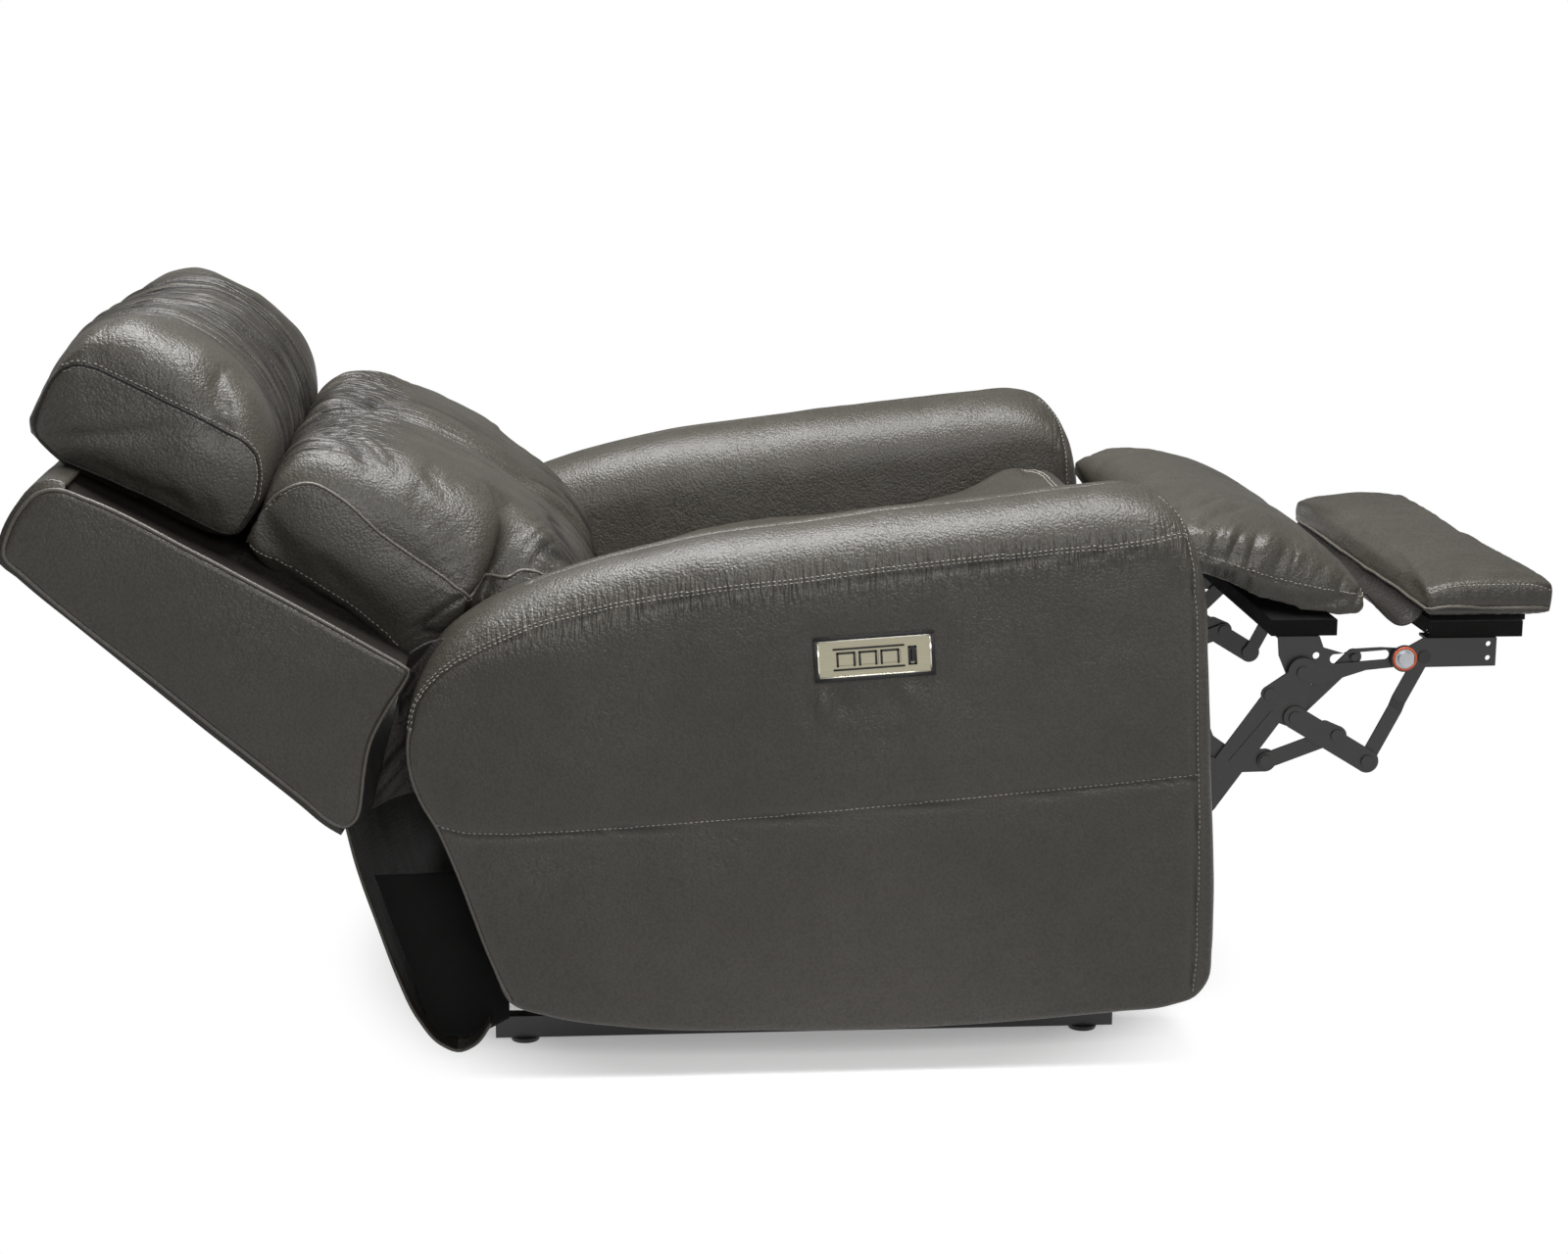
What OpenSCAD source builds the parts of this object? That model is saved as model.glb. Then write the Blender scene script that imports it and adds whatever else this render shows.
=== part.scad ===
// Wall hugger power recliner, drawn fully reclined with its footrest out.
// X points forward to the footrest, Y to the occupant's left, Z up from the floor.

/* [Overall] */
// Width over the two arms
overall_w = 915; // [880:5:980]
// Width of one arm
arm_w = 157; // [145:1:170]
// Nose-up pitch of the seat unit when reclined, in degrees
body_tilt = 3.6; // [3:0.2:4.2]
// Slope of the back above level when reclined, in degrees
back_slope = 29; // [27:0.5:31]
// Distance of the frame's middle ahead of the drawing's own zero
frame_shift = 26.4; // [20:0.1:35]

/* [Arms] */
// Length of the arm's flat outer face
arm_front_x = 388; // [370:1:400]
// Height of the arm's crown at its front, from the unit's own floor line
arm_top_h = 597; // [580:1:620]
// Depth of the rounded top roll
arm_roll_h = 74; // [60:1:90]
// Thickness of the padding over the arm frame
arm_pad = 18; // [16:1:26]
// Thickness of the arm frame's boards
arm_board = 15; // [12:1:19]

/* [Control plate] */
// Length of the control plate
plate_l = 118; // [110:1:130]
// Height of the control plate
plate_h = 40; // [36:1:46]
// Distance of the plate's middle behind the arm's front edge
plate_back = 332; // [300:1:360]
// Height of the plate's middle
plate_z = 449; // [430:1:465]
// Depth of the pocket behind the plate
plate_pocket = 13; // [11:1:15]
// Length of one push button
button_l = 19; // [16:0.5:21]
// Height of one push button
button_h = 12; // [10:0.5:14]
// Distance between neighbouring push buttons
button_pitch = 23; // [22:0.5:25]
// Push button clearance all round
button_gap = 0.4; // [0.3:0.1:0.6]

/* [Seat] */
// Height of the top of the seat box rails
rail_top_h = 405; // [395:1:412]
// Height of the seat box rails
rail_h = 34; // [28:1:38]
// Thickness of the seat box rails
rail_t = 20; // [16:1:24]
// Thickness of the spring deck board
deck_t = 9; // [6:1:12]
// Thickness of the seat cushion in its middle
seat_crown = 76; // [66:1:84]
// Extra thickness of the seat cushion at its front roll
seat_roll = 74; // [60:1:80]
// Front end of the seat cushion
seat_front_x = 376; // [366:1:378]
// Rear end of the seat cushion
seat_rear_x = -176; // [-190:1:-170]
// Gap between a cushion and its neighbour
soft_gap = 4; // [3:0.5:6]
// Wire thickness of the sinuous springs
spring_wire = 4; // [3:0.5:5]
// Number of sinuous springs
spring_count = 5; // [4:1:6]

/* [Back] */
// Recline pivot, forward and up
back_pivot = [-305, 425];
// Height of the back shell along the back
shell_l = 548; // [530:1:560]
// Half width of the back shell
shell_hw = 425; // [415:1:435]
// Thickness of the shell's padded sides
shell_side = 20; // [14:1:26]
// Thickness of the shell's rear panel
shell_wall = 9; // [7:1:14]
// Width over the back frame's posts
back_frame_w = 548; // [540:1:548]
// Width of one back frame post
post_w = 30; // [24:1:36]
// Gap between the back cushion and an arm
back_gap = 8.5; // [6:0.5:14]

/* [Headrest] */
// Length of the headrest along the back
head_l = 236; // [220:1:245]
// Half width of the headrest
head_hw = 345; // [330:1:355]
// Place of the headrest pivot along the back
head_pivot_s = 344; // [340:1:346]
// Place of the headrest pivot in front of the frame line
head_pivot_n = 20; // [16:1:24]
// Radius of the headrest pivot rod
head_rod_r = 4; // [3:0.5:5]

/* [Footrest linkage] */
// Thickness of the link plates
plate_t = 3; // [2.5:0.1:3.3]
// Distance between neighbouring link plates, face to like face
plate_pitch = 3.6; // [3.5:0.1:4]
// Pivot of the drive links on the side plates
drive_pivot = [367, 426.5];
// Pivot of the knee plates on the drive links
knee_pivot = [425, 285];
// Far pivot of the drive links, which guides the short links
guide_pivot = [487, 286];
// Pivot of the mid brackets on the knee plates
mid_pivot = [525, 386.5];
// Pivot of the lower links on the knee plates
lower_pivot = [517.5, 336];
// Pivot of the short links on the lower links
short_pivot = [565.5, 315];
// Pivot of the joggled links on the lower links
joggle_pivot = [601, 285];
// Pivot of the foot brackets on the mid brackets
foot_pivot = [639, 401];
// Pivot of the joggled links on the foot brackets
lift_pivot = [661, 403];
// Pin of the slot links, which slides in the mid brackets
slot_pin = [584, 401.5];
// Radius of the link rivets
rivet_r = 4; // [3.5:0.5:4.5]
// Radius of the rivet heads
head_r = 7; // [6:0.5:8]
// Height of the rivet heads
head_h = 2.2; // [1.6:0.2:2.4]
// Radial clearance of the pivots
fit = 0.05; // [0.03:0.01:0.08]
// Radial clearance of the pivots that stay open
open_fit = 1.5; // [1.3:0.1:1.8]
// Half width of the lower links
lower_hw = 13; // [11:0.5:14]
// Half width of the drive links
drive_hw = 14; // [12:0.5:14]
// Half width of the ribbed bar of the knee plates
knee_hw = 17.5; // [15:0.5:18]
// Half width of the slot in the mid brackets
slot_hw = 5.5; // [5.3:0.1:5.9]
// Length of the foot brackets ahead of their pivot
foot_bar_l = 103; // [95:1:110]
// Radius of the torque tube
tube_r = 10; // [9:0.5:11]

/* [Footrest pads] */
// Hinge line of the calf pad
calf_pivot = [376, 512];
// Slope of the calf pad below level, in degrees
calf_slope = 15.5; // [14:0.5:17]
// Length of the calf pad ahead of its hinge
calf_l = 224; // [210:1:228]
// Thickness of the calf pad at its crown
calf_crown = 80; // [70:1:88]
// Thickness of the wooden boards
board_t = 18; // [15:1:20]
// Half width of the calf pad
calf_hw = 290; // [280:1:294]
// Half width of the foot pad
foot_hw = 296; // [288:1:298]
// Length of the foot pad
foot_l = 146; // [135:1:150]
// Thickness of the foot pad at its crown
foot_crown = 46; // [40:1:52]

/* [Swing base] */
// Rear swing pivot on the seat unit
rear_swing = [-180, 210];
// Front swing pivot on the seat unit
front_swing = [230, 230];
// Distance that the seat unit rides forward as it reclines
ride = 115; // [110:1:118]
// Height that the seat unit loses as it reclines
ride_drop = 2; // [0:0.5:3]
// Height of the swing pivots on the base
base_pivot_h = 60; // [56:1:64]
// Half width of the swing links
swing_hw = 15; // [13:0.5:17]
// Radius of the swing pins
swing_pin_r = 6; // [5:0.5:7]
// Radial clearance of the open swing pivot
swing_open = 3; // [2.6:0.1:3.4]
// Rear end of the floor rails
rail_rear_x = -368; // [-368:2:-340]
// Front end of the floor rails
rail_front_x = 310; // [290:5:330]
// Width of the floor rails
floor_rail_w = 20; // [16:1:24]
// Height of the floor rails
floor_rail_h = 24; // [20:1:26]
// Thickness of the floor glides
glide_t = 5; // [4:0.5:6]

/* [Hidden] */
$fn = 48;

leather = [0.21, 0.20, 0.19];
black_steel = [0.10, 0.10, 0.10];
bright_steel = [0.72, 0.73, 0.75];
timber = [0.72, 0.56, 0.37];
nickel = [0.70, 0.68, 0.62];
plastic = [0.07, 0.07, 0.08];

mech_w = overall_w / 2 - arm_w;
back_hw = mech_w - back_gap;
wing_hw = shell_hw - 85;
side_plate_t = 4;
side_w = mech_w - 18;
swing_w = side_w + side_plate_t + 1;
ear_w = swing_w + side_plate_t + 1;
hinge_w = side_w - side_plate_t - 0.6;

// Inner face of link layer k, counted outwards from the slot links
function layer(k) = side_w - 3 - plate_t - (4 - k) * plate_pitch;

// A point of the reclined drawing, in the seat unit's own level axes
function level(p) = [
  p[0] * cos(body_tilt) + p[1] * sin(body_tilt),
  p[1] * cos(body_tilt) - p[0] * sin(body_tilt)
];
function direction(p, q) = atan2(q[1] - p[1], q[0] - p[0]);
function part_way(p, q, f) = p + f * (q - p);

// The base pivot that lies level with base_pivot_h and as far from the seat pivot
// in the reclined place as in the upright place
function upright(p) = level(p) + [-ride, ride_drop];
function base_pivot(p) =
  let (u = upright(p), h = base_pivot_h)
  [(p[0] * p[0] - u[0] * u[0] + pow(p[1] - h, 2) - pow(u[1] - h, 2)) / (2 * (p[0] - u[0])), h];

rear_base = base_pivot(rear_swing);
front_base = base_pivot(front_swing);

// Placing helpers
module place() {
  translate([frame_shift, 0, 0]) children();
}

module on_unit() {
  place() rotate([0, -body_tilt, 0]) children();
}

module on_back() {
  place() translate([back_pivot[0], 0, back_pivot[1]]) rotate([0, back_slope, 0]) children();
}

module on_calf() {
  place() translate([calf_pivot[0], 0, calf_pivot[1]]) rotate([0, calf_slope, 0]) children();
}

// The drawn side is the occupant's right, at negative Y
module on_side(left) {
  if (left) mirror([0, 1, 0]) children();
  else children();
}

module both_sides() {
  children();
  mirror([0, 1, 0]) children();
}

// A flat plate from its X and Z outline, its inner face w from the middle
module upright_plate(w, t) {
  translate([0, -w, 0]) rotate([90, 0, 0]) linear_extrude(t) children();
}

// Round pin from w0 to w1 off the middle
module pin(p, r, w0, w1) {
  translate([p[0], -w0, p[1]]) rotate([90, 0, 0]) cylinder(r = r, h = w1 - w0);
}

// A link with two round ends, its sides drawn in a hair so that they cut the ends cleanly
module bar(p, q, r) {
  side = r * 0.99;
  translate(p) circle(r);
  translate(q) circle(r);
  translate(p) rotate(direction(p, q)) translate([0, -side]) square([norm(q - p), 2 * side]);
}

module hole(p, r) {
  translate(p) circle(r);
}

// A rivet whose shank joins layers k0 to k1, with a head on each end
module rivet(p, k0, k1, r = rivet_r) {
  pin(p, r, layer(k0) - 0.1, layer(k1) + plate_t + 0.1);
  pin(p, head_r, layer(k0) - 0.1 - head_h, layer(k0) - 0.1);
  pin(p, head_r, layer(k1) + plate_t + 0.1, layer(k1) + plate_t + 0.1 + head_h);
}

// Signed power, which squares off a circle into a padded outline
function puff(a, e) = sign(a) * pow(abs(a), e);

// Closed skin over rings of points that all have the same count
module skin(rings) {
  n = len(rings[0]);
  m = len(rings);
  points = [for (ring = rings) each ring];
  sides = [
    for (i = [0:m - 2], j = [0:n - 1])
      let (a = i * n + j, b = i * n + (j + 1) % n, c = a + n, d = b + n)
      each [[a, b, d], [a, d, c]]
  ];
  first = [for (j = [1:n - 2]) [0, j + 1, j]];
  last = [for (j = [1:n - 2]) [(m - 1) * n, (m - 1) * n + j, (m - 1) * n + j + 1]];
  polyhedron(points = points, faces = concat(sides, first, last), convexity = 6);
}

// Where the rings of a pad stand, from -1 to 1, closer together at the two ends
function stations(n) = [for (i = [0:n]) sin(90 * (2 * i / n - 1))];

// A padded cushion. The profile runs from x0 to x1, its lower face is level at low, and
// its upper face follows the heights in tops at the middle and falls by drop at the ends.
// The sides draw in by draw, and a sewn channel of the given depth runs down the middle.
module cushion(hw, x0, x1, low, tops, drop, draw, channel = 0, rows = 18, round = 26) {
  rings = [
    for (v = stations(rows))
      let (
        e = pow(abs(v), 5),
        shut = abs(v) > 0.999 ? 0.9 : 1,
        y = hw * v,
        half = (x1 - x0) / 2 * shut,
        mid_x = (x0 + x1) / 2,
        groove = channel * exp(-pow(y / 26, 2))
      )
      [for (i = [0:round - 1])
        let (
          t = 360 * i / round,
          px = mid_x + half * puff(cos(t), 0.42),
          top = lookup(px, tops) - drop * e - groove,
          mid = low + (top - low) * 0.42,
          pz = sin(t) >= 0
            ? mid + (top - mid) * shut * puff(sin(t), 0.5)
            : mid + (mid - low) * shut * puff(sin(t), 0.4),
          pull = draw * (1 - pow(abs(puff(cos(t), 0.42)), 2)) * pow(abs(v), 8)
        )
        [px, y - sign(v) * pull, pz]]
  ];
  skin(rings);
}

// Floor base: two rails joined by cross tubes that carry the ears of the swing links
module floor_rail(left) {
  color(black_steel) place() on_side(left)
    translate([rail_rear_x, -mech_w - 41.5, glide_t])
      difference() {
        cube([rail_front_x - rail_rear_x, floor_rail_w, floor_rail_h]);
        translate([-1, 2, 2]) cube([rail_front_x - rail_rear_x + 2, floor_rail_w - 4, floor_rail_h - 4]);
      }
}

module floor_rail_left() {
  floor_rail(true);
}

module floor_rail_right() {
  floor_rail(false);
}

rail_inner_w = mech_w + 41.5 - floor_rail_w;
tube_side = 20;

module base_cross(at) {
  color(black_steel) place() {
    translate([at[0] - tube_side / 2, -rail_inner_w, glide_t])
      cube([tube_side, 2 * rail_inner_w, tube_side]);
    both_sides() upright_plate(ear_w, side_plate_t) difference() {
      union() {
        bar(at, [at[0], glide_t + tube_side + 4], swing_hw + 3);
        translate([at[0] - swing_hw - 18, glide_t + tube_side]) square([2 * swing_hw + 36, 9]);
      }
      translate([at[0] - 60, -20]) square([120, 20 + glide_t + tube_side]);
      hole(at, swing_pin_r + fit);
    }
  }
}

module base_cross_rear() {
  base_cross(rear_base);
}

module base_cross_front() {
  base_cross(front_base);
}

module floor_glides() {
  color(plastic) place() for (x = [rail_rear_x + 32, rail_front_x - 32]) both_sides()
    translate([x, -rail_inner_w - floor_rail_w / 2, 0]) cylinder(r1 = 15, r2 = 17, h = glide_t);
}

module swing_pins() {
  color(bright_steel) place() both_sides() for (p = [rear_base, front_base]) {
    pin(p, swing_pin_r, swing_w - 0.6, ear_w + side_plate_t);
    pin(p, swing_pin_r + 3, ear_w + side_plate_t, ear_w + side_plate_t + 2.5);
  }
}

// Swing links between the floor base and the seat unit
module swing_link(low, high, high_fit) {
  upright_plate(swing_w, side_plate_t) difference() {
    bar(low, high, swing_hw);
    hole(low, swing_pin_r + fit);
    hole(high, swing_pin_r + high_fit);
  }
}

module rear_swing_links() {
  color(black_steel) place() both_sides() swing_link(rear_base, rear_swing, fit);
}

module front_swing_links() {
  color(black_steel) place() both_sides() swing_link(front_base, front_swing, swing_open);
}

// Side plates of the mechanism, drawn in the seat unit's level axes
module side_plate(left) {
  drive = level(drive_pivot);
  hinge = level(back_pivot);
  rear = level(rear_swing);
  front = level(front_swing);
  color(black_steel) on_unit() on_side(left) upright_plate(side_w, side_plate_t) difference() {
    union() {
      bar(drive, [drive[0] - 60, bolt_z], 15);
      translate([hinge[0], bolt_z - 14]) square([drive[0] - 50 - hinge[0], 27]);
      bar(rear, hinge + [40, -10], 19);
      bar(rear, [rear[0] + 90, bolt_z - 8], 18);
      bar(front, [front[0] + 62, bolt_z - 8], 19);
      bar(front, [front[0] - 150, bolt_z - 8], 18);
      translate(hinge) circle(24);
    }
    hole(drive, tube_r - 2 + fit);
    hole(hinge, swing_pin_r + 2 + fit);
    hole(rear, swing_pin_r + fit);
    hole(front, swing_pin_r + fit);
    for (x = bolt_xs) hole([x, bolt_z], 5 + fit);
  }
}

bolt_xs = [-240, -60, 110];
bolt_z = rail_top_h - rail_h / 2;

module side_plate_left() {
  side_plate(true);
}

module side_plate_right() {
  side_plate(false);
}

// Bolts that tie seat box, side plates and arms together, hinge bolts and seat swing pins.
// The front swing pin has no inner head, so that the joggled link can pass it.
module seat_bolts() {
  hinge = level(back_pivot);
  color(bright_steel) on_unit() both_sides() {
    for (x = bolt_xs) {
      pin([x, bolt_z], 5, box_w, mech_w);
      pin([x, bolt_z], 9, box_w, side_w);
    }
    pin(hinge, swing_pin_r + 2, hinge_w - 1, mech_w - 6);
    pin(hinge, swing_pin_r + 7, side_w + side_plate_t, mech_w - 6);
    for (p = [level(rear_swing), level(front_swing)])
      pin(p, swing_pin_r, side_w, swing_w + side_plate_t + 0.4);
    pin(level(rear_swing), swing_pin_r + 4, side_w - 3, side_w);
  }
}

box_w = layer(0) - 4;
box_front_x = 338;
box_rear_x = -150;

// Timber box of the seat
module seat_box() {
  color(timber) on_unit() difference() {
    translate([box_rear_x, -box_w, rail_top_h - rail_h])
      cube([box_front_x - box_rear_x, 2 * box_w, rail_h]);
    translate([box_rear_x + rail_t, -box_w + rail_t, rail_top_h - rail_h - 1])
      cube([box_front_x - box_rear_x - 2 * rail_t, 2 * (box_w - rail_t), rail_h + 2]);
  }
  color(timber) on_unit() both_sides()
    translate([-252, -box_w, rail_top_h - rail_h]) cube([-252 * -1 + box_rear_x, rail_t, rail_h]);
}

// Sinuous springs, one wire each, bent to and fro across the seat box
module seat_springs() {
  wave = 24;
  loops = floor((box_front_x - box_rear_x - 2 * rail_t) / wave / 2) - 1;
  span = 2 * (box_w - rail_t);
  x0 = box_rear_x + rail_t + ((box_front_x - box_rear_x - 2 * rail_t) - 2 * loops * wave) / 2;
  color(bright_steel) on_unit() for (i = [0:spring_count - 1])
    translate([x0, -span / 2 + span * (i + 0.5) / spring_count, rail_top_h - spring_wire - 6])
      linear_extrude(spring_wire) {
        for (k = [0:2 * loops - 1]) translate([k * wave, 0]) {
          translate([0, -16]) square([spring_wire, 32 + spring_wire]);
          translate([0, k % 2 == 0 ? 16 : -16]) square([wave + spring_wire, spring_wire]);
        }
        translate([-(x0 - box_rear_x - rail_t), 0]) square([x0 - box_rear_x - rail_t + 1, spring_wire]);
        translate([2 * loops * wave, -16]) square([spring_wire, 18]);
        translate([2 * loops * wave, -2]) square([x0 - box_rear_x - rail_t, spring_wire]);
      }
}

// Deck board over the springs, under the seat cushion
module seat_deck() {
  color(plastic) on_unit()
    translate([seat_rear_x, -box_w, rail_top_h])
      cube([box_front_x + 20 - seat_rear_x, 2 * box_w, deck_t]);
}

seat_low = rail_top_h + deck_t + 0.3;

// Its lower front corners are cut away for the links that fold up beside the seat box
module seat_cushion() {
  top = seat_low + seat_crown;
  tops = [
    [seat_rear_x, top - 14], [seat_rear_x + 90, top - 2], [0, top], [180, top + 6],
    [250, top + 0.4 * seat_roll], [310, top + 0.92 * seat_roll], [346, top + seat_roll],
    [seat_front_x, top + seat_roll - 10]
  ];
  color(leather) on_unit() difference() {
    cushion(mech_w - soft_gap, seat_rear_x, seat_front_x, seat_low, tops, 34, 4, 0, 16, 26);
    for (side = [-1, 1]) translate([172, side * 280 - 16, seat_low - 4]) cube([220, 32, 74]);
  }
}

// Arms: a skin over stations along the arm, its crown and underside given by profiles
arm_tops = [
  [-426, 414], [-412, 446], [-384, 484], [-345, 512], [-300, 531], [-230, 553], [-127, 570],
  [79, 585], [182, 590], [286, 596], [338, arm_top_h], [366, arm_top_h - 10],
  [380, arm_top_h - 26], [arm_front_x, arm_top_h - 52]
];
arm_lows = [
  [-426, 408], [-413, 361], [-383, 290], [-358, 156], [-343, 103], [-305, 88], [-214, 68],
  [-60, 52], [148, 41], [300, 45], [360, 55], [380, 64], [arm_front_x, 78]
];
arm_xs = [
  -426, -419, -410, -398, -384, -370, -358, -343, -322, -300, -265, -230, -170, -110, -20,
  79, 182, 250, 300, 338, 356, 368, 378, 384, arm_front_x
];

function arm_ring(x) =
  let (
    top = lookup(x, arm_tops),
    low = lookup(x, arm_lows),
    roll = min(arm_roll_h, (top - low) * 0.6),
    hw = arm_w / 2,
    mid = overall_w / 2 - hw
  )
  concat(
    [for (i = [0:12]) let (t = 180 * i / 12)
      [x, -mid - hw * puff(cos(t), 0.7), top - roll + roll * puff(sin(t), 0.75)]],
    [for (i = [0:4]) let (t = 180 + 180 * i / 4, r = min(9, (top - low) * 0.3))
      [x, -mid - (hw - r) * sign(cos(t) - 0.0001) - r * cos(t), low + r + r * sin(t)]]
  );

module arm_shape() {
  skin([for (x = arm_xs) arm_ring(x)]);
}

arm_box_x0 = -330;
arm_box_x1 = arm_front_x - arm_pad - 6;
arm_box_w = arm_w - 2 * arm_pad;
arm_box_z0 = 110;
arm_box_z1 = 500;

module arm_cover(left) {
  color(leather) on_unit() on_side(left) difference() {
    arm_shape();
    translate([arm_box_x0, -mech_w - arm_pad - arm_box_w, 0])
      cube([arm_box_x1 - arm_box_x0, arm_box_w, arm_box_z1]);
    if (!left) translate([
      arm_front_x - plate_back - plate_l / 2 - 0.5, -overall_w / 2 - 1, plate_z - plate_h / 2 - 0.5
    ])
      cube([plate_l + 1, plate_pocket + 1, plate_h + 1]);
  }
}

module arm_cover_left() {
  arm_cover(true);
}

module arm_cover_right() {
  arm_cover(false);
}

// Timber frame inside an arm: an inner panel, two posts, a top board and a foot rail
module arm_frame(left) {
  l = arm_box_x1 - arm_box_x0;
  h = arm_box_z1 - arm_box_z0;
  color(timber) on_unit() on_side(left) translate([arm_box_x0, -mech_w - arm_pad - arm_box_w, arm_box_z0])
    difference() {
      cube([l, arm_box_w, h]);
      translate([arm_board, -1, arm_board])
        cube([l - 2 * arm_board, arm_box_w - arm_board + 1, h - 2 * arm_board]);
    }
}

module arm_frame_left() {
  arm_frame(true);
}

module arm_frame_right() {
  arm_frame(false);
}

// Control plate with its windows, push buttons and socket
plate_x = arm_front_x - plate_back;
button_x0 = plate_x - 6;
plate_face = overall_w / 2 - 0.6;
plate_thick = 3;

module button_block(k, grow, y0, depth) {
  translate([
    button_x0 + (k - 1) * button_pitch - button_l / 2 - grow, y0,
    plate_z - 1 - button_h / 2 - grow
  ])
    cube([button_l + 2 * grow, depth, button_h + 2 * grow]);
}

module control_plate() {
  color(nickel) on_unit() difference() {
    union() {
      translate([plate_x - plate_l / 2, -plate_face, plate_z - plate_h / 2])
        cube([plate_l, plate_thick, plate_h]);
      translate([plate_x - plate_l / 2 + 6, -plate_face, plate_z - plate_h / 2 + 6])
        cube([plate_l - 12, plate_pocket - 0.6, plate_h - 12]);
    }
    for (k = [0:2]) button_block(k, button_gap, -plate_face - 1, 11);
    translate([socket_x - 3.2, -plate_face - 1, plate_z - 8.2]) cube([6.4, 11, 15.4]);
  }
}

socket_x = plate_x + 39;

module usb_socket() {
  color(plastic) on_unit() difference() {
    translate([socket_x - 3, -plate_face, plate_z - 8]) cube([6, 9.6, 15]);
    translate([socket_x - 1.6, -plate_face - 1, plate_z - 6.4]) cube([1.2, 7, 11.8]);
  }
}

// Each button stands a little proud of the plate and is guided by its window
module push_button(k) {
  color(nickel) on_unit() button_block(k, 0, -plate_face - 0.4, 7);
}

module button_recline() {
  push_button(0);
}

module button_home() {
  push_button(1);
}

module button_head() {
  push_button(2);
}

// Drive unit under the seat: motor with gearbox, rail with its screw, running nut
drive_z = rail_top_h - 67;

module drive_motor() {
  color(plastic) on_unit() {
    translate([-118, -34, drive_z - 26]) cube([62, 68, rail_top_h - rail_h - drive_z + 26]);
    translate([-87, 0, drive_z - 26]) rotate([180, 0, 0]) cylinder(r = 27, h = 66);
    translate([-87, 0, drive_z - 92]) rotate([180, 0, 0]) cylinder(r = 22, h = 8);
    translate([box_rear_x + rail_t, -20, rail_top_h - rail_h - 0.1])
      cube([40, 40, rail_h - spring_wire - 8]);
  }
}

module drive_rail() {
  color(bright_steel) on_unit() {
    translate([-56, -17, drive_z - 14]) difference() {
      cube([340, 34, 28]);
      translate([-1, 3, 3]) cube([342, 28, 40]);
    }
    translate([-56, 0, drive_z]) rotate([0, 90, 0]) cylinder(r = 6, h = 340);
    translate([276, -17, drive_z - 14]) cube([8, 34, rail_top_h - rail_h - drive_z + 14]);
  }
}

module drive_nut() {
  color(plastic) on_unit() difference() {
    translate([222, -13.6, drive_z - 10.6]) cube([36, 27.2, 36]);
    translate([221, 0, drive_z]) rotate([0, 90, 0]) cylinder(r = 6 + fit, h = 38);
  }
}

// Back unit. Its own axes: X from the top of the back down to the seat, Z to the occupant
function along_back(s, n) = [-s, n];

module hinge_plate(left) {
  color(black_steel) on_back() on_side(left) upright_plate(hinge_w, side_plate_t) difference() {
    union() {
      bar([0, 0], [-60, -70], 20);
      bar([-64, -70], [-200, -70], 19);
    }
    hole([0, 0], swing_pin_r + 2 + fit);
    for (s = [90, 180]) hole([-s, -70], 5 + fit);
  }
}

module hinge_plate_left() {
  hinge_plate(true);
}

module hinge_plate_right() {
  hinge_plate(false);
}

post_n0 = -100;
post_n1 = -42;
post_s0 = 30;
post_s1 = shell_l - 36;
head_sink = 18;

module back_frame() {
  post_out = min(back_frame_w / 2, hinge_w - 0.2);
  color(timber) on_back() {
    both_sides() {
      translate([-head_pivot_s + 6, -post_out, post_n0])
        cube([head_pivot_s - 6 - post_s0, post_w, post_n1 - post_n0]);
      translate([-post_s1, -post_out, post_n0])
        cube([post_s1 - post_s0, post_w, post_n1 - post_n0 - head_sink]);
    }
    for (s = [post_s0 + 28, 268]) translate([-s - 22, -post_out + post_w, post_n0])
      cube([44, 2 * (post_out - post_w), 24]);
    for (s = [300, post_s1 - 22]) translate([-s - 22, -shell_hw + shell_side, post_n0 - 24])
      cube([44, 2 * (shell_hw - shell_side), 24]);
    both_sides() for (s = [90, 180]) translate([-s, -post_out + post_w, -70]) rotate([90, 0, 0])
      cylinder(r = 5, h = post_w + side_plate_t + 0.4);
  }
}

// Rear shell: a padded leather case, open towards the cushions and below
shell_outline = [
  along_back(121, -62), along_back(shell_l - 26, -62), along_back(shell_l - 10, -70),
  along_back(shell_l, -92), along_back(shell_l, -134), along_back(shell_l - 6, -152),
  along_back(299, -205), along_back(124, -242), along_back(112, -244), along_back(98, -226)
];
shell_inner = [
  along_back(60, -50), along_back(shell_l - 30, -50), along_back(shell_l - 22, -74),
  along_back(shell_l - shell_wall - 5, -96), along_back(shell_l - shell_wall - 5, -132),
  along_back(shell_l - shell_wall - 12, -140), along_back(299, -205 + shell_wall),
  along_back(124, -242 + shell_wall), along_back(60, -242 + shell_wall)
];

module back_shell() {
  color(leather) on_back() difference() {
    upright_plate(-shell_hw, 2 * shell_hw) polygon(shell_outline);
    upright_plate(-shell_hw + shell_side, 2 * (shell_hw - shell_side)) polygon(shell_inner);
  }
}

back_low = post_n1 + 0.4;

module back_cushion() {
  tops = [
    [-332, 66], [-310, 88], [-276, 100], [-214, 111], [-145, 113], [-73, 106], [-6, 84], [40, 50]
  ];
  color(leather) on_back() difference() {
    union() {
      cushion(back_hw, -332, 40, back_low, tops, 58, 10, 12, 24, 30);
      cushion(wing_hw, -332, -112, back_low, [for (t = tops) [t[0], t[1] - 16]], 44, 8, 0, 10, 22);
    }
    both_sides() translate([-78, -back_hw - 1, back_low - 1]) cube([130, back_hw - 227, 104]);
  }
}

// Headrest: steel arms on the back frame, a bracket in the cushion, one pivot rod
head_arm_w = 150;

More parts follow.
